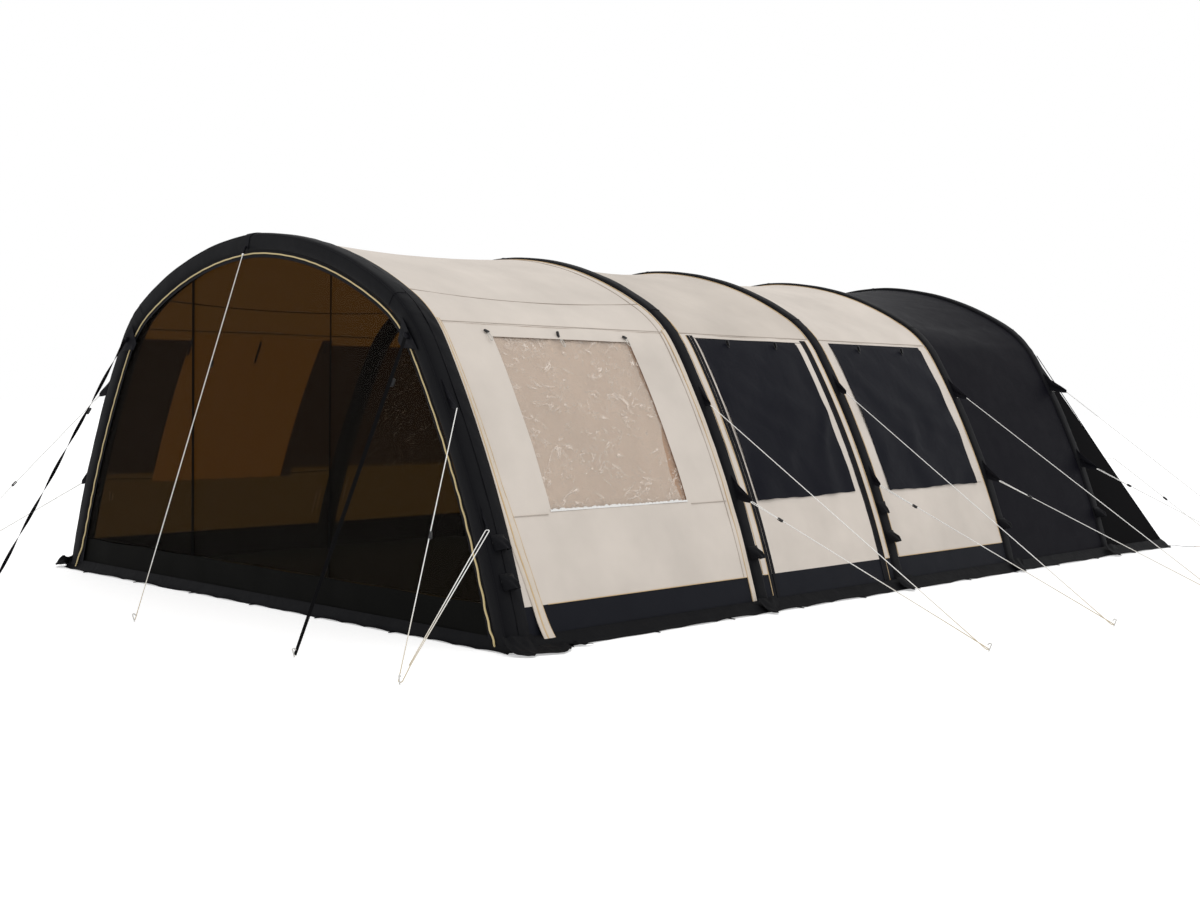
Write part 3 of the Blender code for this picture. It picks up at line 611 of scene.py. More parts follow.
def tube_part(path, radius, sides=8, zone=0, flat=1.0):
    """A closed tube along a path of points. flat squeezes its section into a band."""
    path = np.asarray(path, float)
    along = unit(np.gradient(path, axis=0))
    side = np.cross(along, UP)
    weak = np.linalg.norm(side, axis=1) < 1e-3
    side[weak] = np.cross(along[weak], [1.0, 0.0, 0.0])
    for k in range(1, len(side)):
        side[k] = side[k - 1] - along[k] * (side[k - 1] @ along[k])
    side = unit(side)
    angles = np.linspace(0, 2 * math.pi, sides, endpoint=False)
    ring = side[:, None] * np.cos(angles)[:, None]
    ring = ring + np.cross(side, along)[:, None] * np.sin(angles)[:, None] * flat
    rings = path[:, None] + ring * np.broadcast_to(radius, len(path))[:, None, None]
    uv = np.stack([np.repeat(run_along(path), sides), np.tile(angles / 6.3 * 0.03, len(path))], -1)
    return loop_part(rings, uv, zone)


def facing(side, outer, inner, **options):
    """A closed sheet of two grids that were laid for the right side, for either side."""
    if side == LEFT:
        outer, inner = outer[:, ::-1], inner[:, ::-1]
    return sheet_part(outer, inner, **options)


def ribbon_part(centre, across, out, thickness=0.001, zone=0, steps=2, lift=None):
    """A thin band along a path. across is half its width as ways, and out is the way it faces."""
    centre, across, out = (np.asarray(v, float) for v in (centre, across, out))
    along = np.gradient(centre, axis=0)
    if (np.cross(along, across) * out).sum() < 0:
        across = -across
    shares = np.linspace(-1, 1, steps)
    grid = centre[:, None] + across[:, None] * shares[None, :, None]
    if lift is not None:
        grid = grid + out[:, None] * lift[..., None]
    return sheet_part(grid + out[:, None] * thickness, grid, zone, zone)


def piece(name, parts, materials, body="tent", replaced=()):
    """Joins parts into one object with its materials, and lets it ride on a body."""
    points, faces, zones, uvs, count = [], [], [], [], 0
    for part_points, part_faces, part_zones, part_uv in parts:
        points.append(np.asarray(part_points))
        faces += [tuple(int(i) + count for i in face) for face in part_faces]
        zones.append(np.asarray(part_zones, int))
        uvs.append(np.asarray(part_uv))
        count += len(part_points)
    mesh = bpy.data.meshes.new(name)
    mesh.from_pydata(np.concatenate(points).tolist(), [], faces)
    for material in materials:
        mesh.materials.append(material)
    mesh.polygons.foreach_set("material_index", np.concatenate(zones).astype(np.int32))
    mesh.polygons.foreach_set("use_smooth", np.ones(len(faces), bool))
    layer = mesh.uv_layers.new(name="UVMap")
    corner = np.zeros(len(mesh.loops), np.int32)
    mesh.loops.foreach_get("vertex_index", corner)
    layer.data.foreach_set("uv", np.concatenate(uvs)[corner].astype(np.float32).ravel())
    mesh.update()
    mesh.set_sharp_from_angle(angle=SHARP_ANGLE)
    obj = new_object(name, mesh)
    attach(obj, body)
    if replaced:
        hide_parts(*replaced)
    return obj


def skin_part(runs, ys, depth=SKIN_DEPTH, thickness=THICKNESS, relief=None, **options):
    """A sheet that follows the skin over a grid of runs and places along Y."""
    runs, ys = np.asarray(runs)[None, :], np.asarray(ys)[:, None]
    proud = 0.0 if relief is None else relief(runs, ys)
    outer, inner = skin(runs, ys, depth - proud), skin(runs, ys, depth + thickness - proud)
    uv = np.stack(np.broadcast_arrays(ys, runs), -1)
    return sheet_part(outer, inner, uv=uv, **options)


# Ropes, straps, pegs and runners


def rounded(points, radius):
    """The same route with each corner turned on a small arc."""
    points = [np.asarray(p, float) for p in points]
    route = [points[0]]
    for before, corner, after in zip(points, points[1:], points[2:]):
        back, ahead = before - corner, after - corner
        near, far = np.linalg.norm(back), np.linalg.norm(ahead)
        turn = math.pi - math.acos(np.clip(back @ ahead / near / far, -1, 1))
        if turn < 0.15:
            route.append(corner)
            continue
        reach = min(radius * math.tan(turn / 2), 0.45 * near, 0.45 * far)
        start, end = corner + back / near * reach, corner + ahead / far * reach
        for t in np.arange(7) / 6:
            route.append(start * (1 - t) ** 2 + corner * 2 * t * (1 - t) + end * t * t)
    return [*route, points[-1]]


def hairpin(tip, along):
    """Points of a half turn round a peg or a ring. The rope comes in along the given way."""
    along, across, _ = frame_of(along)
    centre = tip - along * ROPE_TURN
    return [
        centre + across * ROPE_TURN * math.cos(a) + along * ROPE_TURN * math.sin(a)
        for a in np.linspace(0, math.pi, 13)
    ]


def thin_out(points, shortest=0.0015):
    """Leaves out points that nearly coincide with the one before."""
    kept = [points[0]]
    for point in points[1:]:
        if np.linalg.norm(point - kept[-1]) > shortest:
            kept.append(point)
    return np.array(kept)


def even_out(points, longest=0.06):
    """Adds points on long straight stretches."""
    route = [points[0]]
    for near, far in zip(points, points[1:]):
        count = max(1, math.ceil(np.linalg.norm(far - near) / longest))
        route += [near + (far - near) * k / count for k in range(1, count + 1)]
    return route


def frame_of(along):
    """Three square ways: along, across and up."""
    along = unit(along)
    across = unit(np.cross(along, UP))
    return along, across, np.cross(across, along)


def squared(wave, power):
    """A sine or a cosine, pushed towards a square wave by a power under one."""
    return np.sign(wave) * np.abs(wave) ** power


def bar_part(centre, along, size, zone=0):
    """A small moulded bar with rounded edges. size is its length, width and height."""
    along, across, up = frame_of(along)
    stations = np.array([-0.5, -0.46, -0.36, 0.36, 0.46, 0.5])[:, None, None]
    swell = np.array([0.62, 0.86, 1.0, 1.0, 0.86, 0.62])[:, None, None]
    angles = np.linspace(0, 2 * math.pi, 12, endpoint=False)[:, None]
    y, z = squared(np.cos(angles), 1 / 3.1), squared(np.sin(angles), 1 / 3.1)
    offset = across * y * size[1] / 2 * swell + up * z * size[2] / 2 * swell
    rings = np.asarray(centre) + along * stations * size[0] + offset
    return loop_part(rings, np.zeros((72, 2)), zone)


def peg_parts(place, lean):
    """The head of a bent steel peg: a short shank that leans away, and its hook."""
    lean = unit(lean * (1, 1, 0))
    foot = place * (1, 1, 0) + lean * 0.004 + UP * 0.004
    neck = foot + UP * 0.030 + lean * 0.012
    hook = [neck + UP * 0.010 + lean * 0.004, neck + UP * 0.012 - lean * 0.008]
    hook.append(neck - lean * 0.020 + UP * 0.002)
    route = even_out(rounded([foot, neck, *hook], 0.006), 0.006)
    return [tube_part(thin_out(route), 0.0032)]


def runner_parts(centre, along):
    """A line tightener: a small bar with a waist across the rope."""
    along, across, _ = frame_of(along)
    return [
        bar_part(centre, along, (0.042, 0.011, 0.016)),
        bar_part(centre - along * 0.012, across, (0.020, 0.010, 0.014)),
    ]


def arch_place(arch, height):
    """A point of a sleeve's outer face at a height on the right, and the way out of it."""
    rise = 1 + (LAST_ARCH_RISE / HEIGHT if arch == 4 else 0.0)
    run = run_at(FLOOR + (height - FLOOR) / rise, 0.0)
    return skin(run, ARCH_Y[arch], 0.0), outward_at(run)


def tab_part(arch, tip, side):
    """A cloth tab sewn on the sleeve above its rope, tapering down and out to the rope's turn."""
    shift = np.array([-0.006, 0.55 * (tip[1] - ARCH_Y[arch]), 0.0])
    high, low = (arch_place(arch, tip[2] + rise)[0] + shift for rise in (0.165, 0.012))
    s, t = np.linspace(0, 1, 13)[:, None, None], np.linspace(0, 1, 9)[None, :, None]
    swing = np.sin(math.pi * s)
    top = high * (1 - s) + (tip + UP * 0.016) * s - UP * 0.020 * swing * (1 - s)
    bottom = low * (1 - s) + (tip - UP * 0.007) * s - UP * 0.005 * swing
    middle = top * (1 - t) + bottom * t
    middle[..., 1:2] += 0.0035 * np.sin(9 * t + 3 * s) * swing
    half = REARWARD * (0.0009 + 0.0034 * t**2)
    return facing(-side, (middle - half) * (side, 1, 1), (middle + half) * (side, 1, 1), back=0)


def make_rope(label, side, route, slider, way, peg, lean):
    """A guy rope with its runner and peg, on either side from its course on the right."""
    flip = np.array([side, 1, 1])
    points = route * flip
    data = bpy.data.curves.new(f"rope_{label}", "CURVE")
    data.dimensions = "3D"
    data.bevel_depth = ROPE_RADIUS
    data.bevel_resolution = 3
    data.use_fill_caps = True
    spline = data.splines.new("POLY")
    spline.points.add(len(points) - 1)
    for target, point in zip(spline.points, points):
        target.co = (*point, 1.0)
    data.materials.append(ROPE)
    obj = new_object(f"rope_{label}", data)
    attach(obj, "tent")
    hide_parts(f"guy_rope_{label}")
    runner = piece(f"runner_{label}", runner_parts(slider * flip, way * flip), [BLACK_PLASTIC])
    peg_piece = piece(f"peg_{label}", peg_parts(peg * flip, lean * flip), [PEG_STEEL])


def make_side_ropes():
    """One rope an arch and side: tab, round the peg, and doubled back to the lower tab's ring."""
    for arch, arch_y in enumerate(ARCH_Y):
        peg = np.array([PEG_X[arch], arch_y - PEG_AHEAD[arch], PEG_HEIGHT])
        tip_y = arch_y - TIP_AHEAD[arch]
        upper = np.array([UPPER_TIP_X[arch], tip_y, UPPER_TIP_Z[arch]])
        lower = np.array([LOWER_TIP_X[arch], tip_y, LOWER_TIP_Z[arch]])
        place, outward = arch_place(arch, upper[2])
        runner = lower + (peg - lower) * DOUBLED_SHARES[arch]
        spread = frame_of(lower - peg)[1] * RUNNER_HALF_SPREAD
        around = hairpin(peg, unit(peg - upper) + unit(peg - lower))
        start = [place + outward * ON_SLEEVE, place + outward * 3 * ROPE_RADIUS, upper, around[0]]
        route = thin_out([
            *rounded(start, ROPE_BEND)[:-1], *around, runner + spread,
            *hairpin(lower, lower - peg), runner - spread,
        ])
        slider, way = (runner, lower - peg) if arch else ((upper + peg) / 2, upper - peg)
        for side, word in SIDES:
            make_rope(f"{word}_{arch + 1}", side, route, slider, way, peg, peg - upper)
            tabs = [tab_part(arch, tip, side) for tip in (upper, lower)]
            piece(f"tabs_{word}_{arch + 1}", tabs, [BLACK_TAPE])


def make_rear_ropes():
    """One short rope from each corner of the rear to a peg behind it."""
    peg = np.array(REAR_PEG)
    for side, word in SIDES:
        low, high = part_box(f"guy_rope_rear_{word}")
        inner_x = low.x if side == RIGHT else -high.x
        place = np.array([inner_x + 0.004, low.y + 0.003, high.z - 0.004])
        tip = place + np.array([0.050, 0.050, 0.0])
        route = thin_out(rounded([place, tip, peg], ROPE_BEND))
        slider = tip + (peg - tip) * 0.45
        make_rope(f"rear_{word}", side, route, slider, tip - peg, peg, peg - tip)


def front_place(x):
    """A point of the first sleeve's front face at a place across."""
    run = run_at_x(abs(x), FRONT_ANCHOR_DEPTH)
    at = arch_point(run, FRONT_ANCHOR_DEPTH)
    return np.array([x, ARCH_Y[0] - SLEEVE_WIDTH / 2, at[1]])


def make_front_ropes():
    """The rope from the top of the front, and the flat storm straps from its shoulders."""
    place, peg = front_place(FRONT_ANCHOR_X), np.array(FRONT_PEG)
    course = [place - REARWARD * ON_SLEEVE, place - REARWARD * 0.012, peg]
    route = thin_out(rounded(course, ROPE_BEND))
    make_rope("front", RIGHT, route, place + (peg - place) * 0.33, place - peg, peg, peg - place)
    for (side, word), turns, share in zip(SIDES, (0.25, 3.0), (0.16, 0.30)):
        place = front_place(STRAP_ANCHOR_X * side)
        peg = np.array(STRAP_PEG) * (side, 1, 1)
        course = [place - REARWARD * ON_SLEEVE, place - REARWARD * 0.020, peg]
        route = thin_out(even_out(rounded(course, 0.03), 0.02))
        along, across, up = frame_of(peg - place)
        angle = np.linspace(0, 2 * math.pi * turns, len(route))[:, None]
        wide = across * np.cos(angle) + up * np.sin(angle)
        band = ribbon_part(
            route, wide * STRAP_WIDTH / 2, np.cross(along, wide), 0.0016, steps=3
        )
        strap = piece(
            f"strap_{word}", [band], [STRAP_WEBBING], replaced=[f"storm_strap_{word}"],
        )
        bar = bar_part(place + (peg - place) * share, along, (0.045, 0.032, 0.012))
        buckle = piece(f"buckle_{word}", [bar], [BLACK_PLASTIC])
        peg_piece = piece(f"peg_strap_{word}", peg_parts(peg, peg - place), [PEG_STEEL])


make_side_ropes()
make_rear_ropes()
make_front_ropes()


# Inflatable arches in their sleeves


def sleeve_rings(arch, runs, inset, sides, relief=None):
    """Rings of points round a sleeve: squarish on the outside, rounder towards the inside."""
    runs = np.asarray(runs)[:, None]
    angles = np.linspace(0, 2 * math.pi, sides, endpoint=False)[None, :]
    sine = np.sin(angles)
    power = np.where(sine < 0, 2 / 4.4, 2 / 2.8)
    proud = (relief(runs, angles) if relief else 0.0) - inset
    depth = SLEEVE_DEPTH / 2 + squared(sine, power) * (SLEEVE_DEPTH / 2 + proud)
    points = skin(runs, ARCH_Y[arch], depth)
    points[..., 1] = ARCH_Y[arch] + squared(np.cos(angles), power) * (SLEEVE_WIDTH / 2 + proud)
    return points, np.stack(np.broadcast_arrays(angles * 0.06, runs), -1)


def bunching(low, foot_length, foot, bend):
    """How much cloth bunches at runs, at a sleeve's feet and round its bends."""
    from_bend = (low - EAVE_RUN - 0.06) / 0.16
    return foot * np.exp(-low / foot_length), bend * np.exp(-(from_bend**2))


def sleeve_relief(arch):
    """Soft creases along a sleeve, bunched cloth at its feet and round its bends."""

    def relief(runs, angles):
        foot, bend = bunching(low_run(runs), 0.10, 0.0050, 0.0018)
        waves = 0.0013 * ripples(runs, angles * 0.05, 11 + arch, 0.30)
        waves = waves + foot * ripples(runs, angles * 0.05, 23 + arch, 0.07)
        return waves + bend * ripples(runs * 2.0, angles * 0.04, 37 + arch, 0.10) - 0.0005

    return relief


def valve_parts(arch, height):
    """A round valve: its collar on the tube, its cap, and the cap's grip."""
    place, outward = arch_place(arch, height)
    parts = []
    for near, far, radius, zone in (
        (-0.014, 0.003, 0.0150, 0), (0.003, 0.006, 0.0185, 1), (0.006, 0.012, 0.0150, 1),
    ):
        path = [place + outward * (near + (far - near) * k / 3) for k in range(4)]
        parts.append(tube_part(path, radius, 24, zone))
    grip = [place + outward * 0.0125 + REARWARD * t for t in np.linspace(-0.012, 0.012, 5)]
    return [*parts, tube_part(grip, 0.0022, 8, 1)]


def make_arches():
    for arch in range(5):
        runs = stops([0.0, 0.3, WHOLE - 0.3, WHOLE], 0.020)
        rings, uv = sleeve_rings(arch, runs, 0.0, 32, sleeve_relief(arch))
        sleeve = piece(
            f"sleeve_{arch + 1}", [loop_part(rings, uv)], [SLEEVE_FABRIC],
            replaced=[f"beam_sleeve_{arch + 1}"],
        )
        runs = stops([0.03, WHOLE - 0.03], 0.12)
        rings, uv = sleeve_rings(arch, runs, 0.010, 12)
        valves = [part for height in VALVES[arch] for part in valve_parts(arch, height)]
        piece(
            f"air_tube_{arch + 1}", [loop_part(rings, uv), *valves], [AIR_TUBE, BLACK_PLASTIC],
            replaced=[f"air_beam_{arch + 1}"],
        )


def hood_grid(arch, height):
    """The two grids of a valve hood: sewn on at its top and sides, with its mouth open below."""
    place, outward = arch_place(arch, height)
    place = place + REARWARD * (HOOD_SHIFT if arch == 0 else 0.0)
    up = np.array([-outward[2], 0.0, outward[0]])
    v = np.linspace(1, -1, 13)[None, :, None]
    w = np.linspace(-1, 1, 15)[:, None, None]
    body = np.interp(v, (-1, -0.2, 0.6, 1), (0.064, 0.051, 0.020, 0.0006))
    if arch == 2 and height == VALVES[2][0]:
        body = body * 0.47  # This one has to pass the lower line of the third rope.
    stand = 0.0006 + body * (1 - np.abs(w) ** 3.2) * (1 + 0.10 * np.sin(5.0 * w + 2.2 * v))
    width = 0.046 * (1 - 0.025 * (1 - v) ** 2)
    base = place + up * (v * 0.0425 - 0.0025 - 0.004 * (1 - w * w) * (v < -0.9))
    base = base + REARWARD * w * width
    return base + outward * (stand + THICKNESS), base + outward * stand


def make_valve_flaps():
    for arch, heights in VALVES.items():
        for height, word in zip(heights, ("_upper", "_lower") if len(heights) == 2 else ("",)):
            label = f"{arch + 1}{word}"
            hood = piece(
                f"valve_hood_{label}", [sheet_part(*hood_grid(arch, height))], [SLEEVE_FABRIC],
                body=f"valve_flap_{label}", replaced=[f"valve_flap_{label}"],
            )


# Roofs, walls, windows and the rear


def ends_of(bay):
    """The first and last place of a bay's cloth, beside its two sleeves."""
    return ARCH_Y[bay] + END_GAP, ARCH_Y[bay + 1] - END_GAP


def slack(near, far, fade, height, seed, wave, fine_seed):
    """Relief of stretched cloth: soft waves that die out at its two sewn ends, and fine ones."""

    def relief(r, y):
        soft = height * (1 - np.exp(-np.minimum(y - near, far - y) / fade))
        return soft * ripples(y, r, seed, wave) + 0.0007 * ripples(y, r, fine_seed, 0.2)

    return relief


def window_span(bay, margin=0.0):
    """The first and last place of a bay's window along the tent, widened by a margin."""
    start, end = WINDOWS[bay]
    return ARCH_Y[bay] + start - margin, ARCH_Y[bay] + end + margin


def door_at(side, bay):
    return side == RIGHT and bay == 1


def make_roofs():
    runs = stops([EAVE_RUN, SEAM_RUN, TOP_RUN, WHOLE - SEAM_RUN, WHOLE - EAVE_RUN], 0.030)
    for bay in range(3):
        near, far = ends_of(bay)
        relief = slack(near, far, 0.15, 0.0030, 51 + bay, 0.9, 61 + bay)
        # The second roof takes the darker canvas, which is painted shade.
        roof = piece(
            f"roof_{bay + 1}", [skin_part(runs, stops([near, far], 0.030), relief=relief)],
            [CANVAS_SHADED if bay == 1 else CANVAS, INSIDE_ROOF_GLOW],
            replaced=[f"roof_panel_{bay + 1}"],
        )


def runs_on(side, painted_glints, pitch):
    """Runs through heights, in order over the top, on the right or the left side."""
    runs = stops([run_at(mark) if mark > 0 else 0.0 for mark in painted_glints], pitch)
    return runs if side == RIGHT else (WHOLE - runs)[::-1]


def middles(values):
    return (values[:-1] + values[1:]) / 2


def wall_part(runs, ys, hole, seed):
    """A wall with one opening, canvas above and groundsheet cloth along its foot."""
    mid_run, mid_y = low_run(middles(runs))[None, :], middles(ys)[:, None]
    y_start, y_end, low, high = hole
    in_rows = (mid_run > run_at(low)) & (mid_run < run_at(high))
    at_foot = mid_run < run_at(MUDWALL)
    keep = ~(in_rows & (mid_y > y_start) & (mid_y < y_end))
    back = np.select([at_foot, in_rows, mid_run < run_at(low)], [5, 4, 3], 2)

    def relief(r, y):
        firm = np.clip(low_run(r) / 0.2, 0.3, 1)
        return 0.0022 * firm * ripples(y, r, seed, 0.55) + 0.0006 * ripples(y, r, seed + 5, 0.14)

    return skin_part(runs, ys, relief=relief, keep=keep, front=at_foot.astype(int), back=back)


# The inner faces of the walls glow with painted light: evenly on the right. On the left they are
# brightest above the windows, less below them and dim beside them. The foot stays dark.
WALL_MATERIALS = {
    RIGHT: [CANVAS, MUD_FABRIC, INSIDE_NEAR_GLOW, INSIDE_NEAR_GLOW, INSIDE_NEAR_GLOW, INSIDE_DARK],
    LEFT: [CANVAS, MUD_FABRIC, INSIDE_ROOF_GLOW, INSIDE_WALL_GLOW, INSIDE_FLANK_GLOW, INSIDE_DARK],
}
DOOR_MATERIALS = [CANVAS, MUD_FABRIC, LEAF_BACK, LEAF_BACK, LEAF_BACK, INSIDE_DARK]


def make_walls():
    for side, word in SIDES:
        for bay in range(3):
            near, far = ends_of(bay)
            start, end, low, high = *window_span(bay), WINDOW_BOTTOM, WINDOW_TOP
            if door_at(side, bay):
                start, end = ARCH_Y[bay] + DOOR[0], ARCH_Y[bay] + DOOR[1]
                low, high = DOOR_BOTTOM, DOOR_TOP
            runs = runs_on(side, sorted([0.0, MUDWALL, low, high, EAVE + WALL_LAP]), GRID)
            ys = stops([near, start, end, far], GRID)
            wall = piece(
                f"wall_{word}_{bay + 1}", [wall_part(runs, ys, (start, end, low, high), 71 + bay)],
                WALL_MATERIALS[side], replaced=[f"side_wall_{word}_{bay + 1}"],
            )


def make_side_door():
    """The side door's leaf with its window opening, in the second bay on the right."""
    start, end = ARCH_Y[1] + DOOR[0] + DOOR_GAPS[0], ARCH_Y[1] + DOOR[1] - DOOR_GAPS[1]
    window = (*window_span(1), WINDOW_BOTTOM, WINDOW_TOP)
    painted_glints = [DOOR_BOTTOM + 0.001, MUDWALL, WINDOW_BOTTOM, WINDOW_TOP, DOOR_TOP - 0.004]
    runs = runs_on(RIGHT, painted_glints, GRID)
    ys = stops([start, window[0], window[1], end], GRID)
    leaf = piece(
        "door_leaf", [wall_part(runs, ys, window, 72)], DOOR_MATERIALS, body="side_door",
        replaced=["side_door"],
    )


def make_windows():
    for side, word in SIDES:
        for bay in range(3):
            ys = stops(window_span(bay, PANE_LAP), PANE_LAP)
            runs = runs_on(side, [WINDOW_BOTTOM - PANE_LAP, WINDOW_TOP + PANE_LAP], PANE_LAP)

            def relief(r, y, seed=81 + bay):
                waves = 0.0024 * ripples(y, r * 1.6, seed, 0.22)
                return waves + 0.0007 * ripples(y, r, seed + 5, 0.06) - 0.0010

            pane = piece(
                f"film_{word}_{bay + 1}", [skin_part(runs, ys, 0.0200, 0.0006, relief, back=0)],
                [CLEAR_FILM], body="side_door" if door_at(side, bay) else "tent",
                replaced=[f"window_{word}_{bay + 1}"],
            )


def make_curtains():
    """A curtain in soft folds behind the clear window of the first bay, its edge not quite shut."""
    first, last = ARCH_Y[0] + WINDOWS[0][0] - 0.025, ARCH_Y[0] + WINDOWS[0][1] + 0.022
    ys = stops([first, last], 0.022)
    for side, word in SIDES:
        runs = runs_on(side, [0.590, 1.600], 0.03)
        ragged = 0.022 + 0.045 * np.exp(-(((low_run(runs) - 0.90) / 0.28) ** 2))
        ragged = ragged + 0.008 * np.sin(runs * 9.0) + 0.004 * np.sin(runs * 31.0)
        y = ys[:, None] - ragged * ((ys - first) / (last - first))[:, None] ** 6
        folds = 0.0045 * np.sin((y - first) * 2 * math.pi / 0.19 + 2.2 * np.sin(runs * 2.1))
        folds = folds + 0.003 * ripples(y, runs, 95, 0.35)
        outer, inner = (skin(runs, y, depth - folds) for depth in (0.0290, 0.0305))
        cloth = piece(
            f"curtain_cloth_{word}", [sheet_part(outer, inner)], [CURTAIN, INSIDE_CURTAIN_GLOW],
            replaced=[f"curtain_{word}"],
        )
        # A glowing strip behind the curtain's edge is painted light: the light that shows through
        # the gap.
        edge_glow = piece(
            f"curtain_edge_glow_{word}",
            [skin_part(runs, stops([last - 0.085, last + 0.004], 0.02), 0.0370)],
            [CURTAIN_GAP_GLOW, INSIDE_FLANK_GLOW],
        )


def make_window_flaps():
    """The covers over the windows of bays 2 and 3, hanging in slanting folds from their tops."""
    top = run_at(FLAP_TOP) - HINGE_ROOM
    for side, word in SIDES:
        for bay in (1, 2):
            start, end = window_span(bay, FLAP_LAP)
            ys = stops([start, end], 0.022)[:, None]
            hem = run_at(FLAP_TOP - FLAP_DROP) + 0.003 * np.sin(ys * 9 + bay)
            hem = hem + 0.0016 * np.sin(ys * 37 + 2 * bay)
            hem = hem + 0.010 * ((ys - start) / (end - start) - 0.5)
            runs = hem + (top - hem) * np.linspace(0, 1, 46)
            free = np.clip((top - runs) / 0.5, 0, 1)
            slant = ys * 0.9 - runs * 0.55 if bay == 1 else ys * 0.8 + runs * 0.6
            folds = np.sin(slant * 15 + 2.5 * ripples(ys, runs, 105 + bay, 0.7))
            proud = 0.0044 * free * folds + 0.0024 * ripples(ys, runs * 1.3, 107 + bay, 0.30)
            proud = np.clip(proud + 0.0050 + 0.0018 * free, 0.0026, 0.016)
            grids = [
                skin(on_side(side, runs), ys, SKIN_DEPTH - off - proud) for off in (0.0022, 0.0007)
            ]
            # On the left, the covers' backs take the faint painted glow.
            cover = piece(
                f"window_cover_{word}_{bay + 1}", [facing(side, *grids)],
                [FLAP_FABRIC, FLAP_FABRIC if side == RIGHT else COVER_BACK_GLOW],
                body=f"window_flap_{word}_{bay + 1}",
                replaced=[f"window_flap_{word}_{bay + 1}"],
            )


def make_rear():
    """The dark canopy of the last bay, and the sloping rear from its arch to the ground."""
    near, far = ends_of(3)
    far = far + 0.02
    runs = stops([0.0, EAVE_RUN, TOP_RUN, WHOLE - EAVE_RUN, WHOLE], GRID)
    ys = stops([near, far], GRID)
    canopy = skin_part(runs, ys, relief=slack(near, far, 0.2, 0.0028, 121, 0.8, 123))
    hood = piece(
        "hood", [canopy], [HOOD_FABRIC, INSIDE_DARK], replaced=["rear_canopy"]
    )

    start = ARCH_Y[4] + SLEEVE_WIDTH / 2 - 0.012
    shoulder_run = run_at(SHOULDER[1], 0.0)
    shares = np.linspace(0, 1, 34)[:, None]
    ahead = REAR_FOOT_AHEAD * np.clip(1 - low_run(runs) / shoulder_run, 0, 1)
    grids = []
    for set_in in (0.0, THICKNESS):
        above = skin(runs, start, SKIN_DEPTH + set_in)
        shoulder = skin(shoulder_run, start, SKIN_DEPTH + set_in)
        across = np.clip(above[:, 0] / shoulder[0], -1, 1)
        half, back = REAR_HALF_WIDTH - set_in, REAR_LINE - set_in - ahead
        below = np.stack([across * half, back, np.full(len(runs), FLOOR)], -1)
        grid = above * (1 - shares[..., None]) + below * shares[..., None]
        hollow = 0.012 * np.sin(math.pi * shares) * np.clip(1 - np.abs(across), 0, 1)
        grid[..., 1] -= hollow - 0.003 * ripples(runs, grid[..., 2], 131, 0.6)
        grids.append(grid)
    uv = np.stack([grids[0][..., 2], grids[0][..., 0]], -1)
    rear = piece(
        "rear_cloth", [sheet_part(*grids, uv=uv)], [REAR_FABRIC, INSIDE_DARK],
        replaced=["rear_wall"],
    )


def make_ground():
    """The floor sheet, and the low sill that closes the foot of the mesh front."""
    width, back = HALF_WIDTH - 0.020, REAR_HALF_WIDTH - 0.020
    xs = np.linspace(-1, 1, 41)[:, None]
    ys = np.linspace(ARCH_Y[0] - 0.05, REAR_LINE - 0.01, 61)[None, :]
    half = width + (back - width) * (ys - ARCH_Y[0]) / (REAR_LINE - ARCH_Y[0])
    level = 0.0016 + 0.0004 * ripples(xs * 2, ys, 141, 0.5)
    top = np.stack(np.broadcast_arrays(xs * half, ys, level), -1)
    # The floor sheet's top has a faint painted glow.
    floor_piece = piece(
        "floor_cloth", [sheet_part(top, top * (1, 1, 0) + UP * 0.0002)],
        [FLOOR_SHEET_GLOW, MUD_FABRIC], replaced=["groundsheet"],
    )

    inside = SLEEVE_DEPTH + 0.0003
    z = np.linspace(0.0, SILL, 9)
    halves = [arch_point(run_at(max(height, 0.004), inside), inside)[0] + 0.010 for height in z]
    x = np.array([np.linspace(-half, half, 81) for half in halves]).T
    sag = 0.006 * ripples(x, z * 2, 151, 0.5) * (z > 0.01)
    tops = np.maximum(z - 0.006 * np.abs(np.sin(x * 5.0)) * (z / SILL) ** 3, 0.0016)
    outer = np.stack([x, FRONT_PLANE + sag, tops], -1)
    # The sill's darker cloth is painted shade.
    sill = piece(
        "sill", [sheet_part(outer, outer + REARWARD * 0.002)], [SILL_SHADE_FABRIC, FLOOR_SHEET_GLOW],
    )


def flap_path():
    """Points along the foot of the tent, from the front right corner round the back."""
    painted_glints = [
        (HALF_WIDTH + 0.003, ARCH_Y[0] - 0.05), (HALF_WIDTH + 0.006, ARCH_Y[4]),
        (REAR_HALF_WIDTH + 0.004, REAR_LINE - 0.05), (REAR_HALF_WIDTH - 0.02, REAR_LINE + 0.003),
    ]
    painted_glints += [(-x, y) for x, y in reversed(painted_glints)]
    return thin_out(even_out(rounded([(x, y, 0.0) for x, y in painted_glints], 0.05), 0.025), 0.004)


def foot_pad(
    arch, side, shift=0.0, spread=0.085, lean=-0.055, high=0.070, reach=0.125, power=1.3
):
    """Bunched cloth at an arch's foot: it spreads over the mud flap and ends in a corner tip."""
    shares, turns = np.linspace(0, 1, 15)[:, None], np.linspace(-1, 1, 17)[None, :]
    half = spread * (1 - shares**power) + 0.006
    x = HALF_WIDTH + 0.004 + reach * shares - 0.010 * np.abs(turns) * shares
    if arch == 4:
        x = x + 0.012
    y = ARCH_Y[arch] + shift + lean * shares**1.5 + half * turns
    rise = high * (1 - shares) ** 2.2 + 0.013
    z = rise + 0.008 * ripples(x * 3, y * 3, 211 + arch + 7 * side, 0.22) * (1 - 0.5 * shares)
    outer = np.stack(np.broadcast_arrays(x * side, y, np.maximum(z, 0.006)), -1)
    return facing(side, outer, outer - UP * 0.0018)


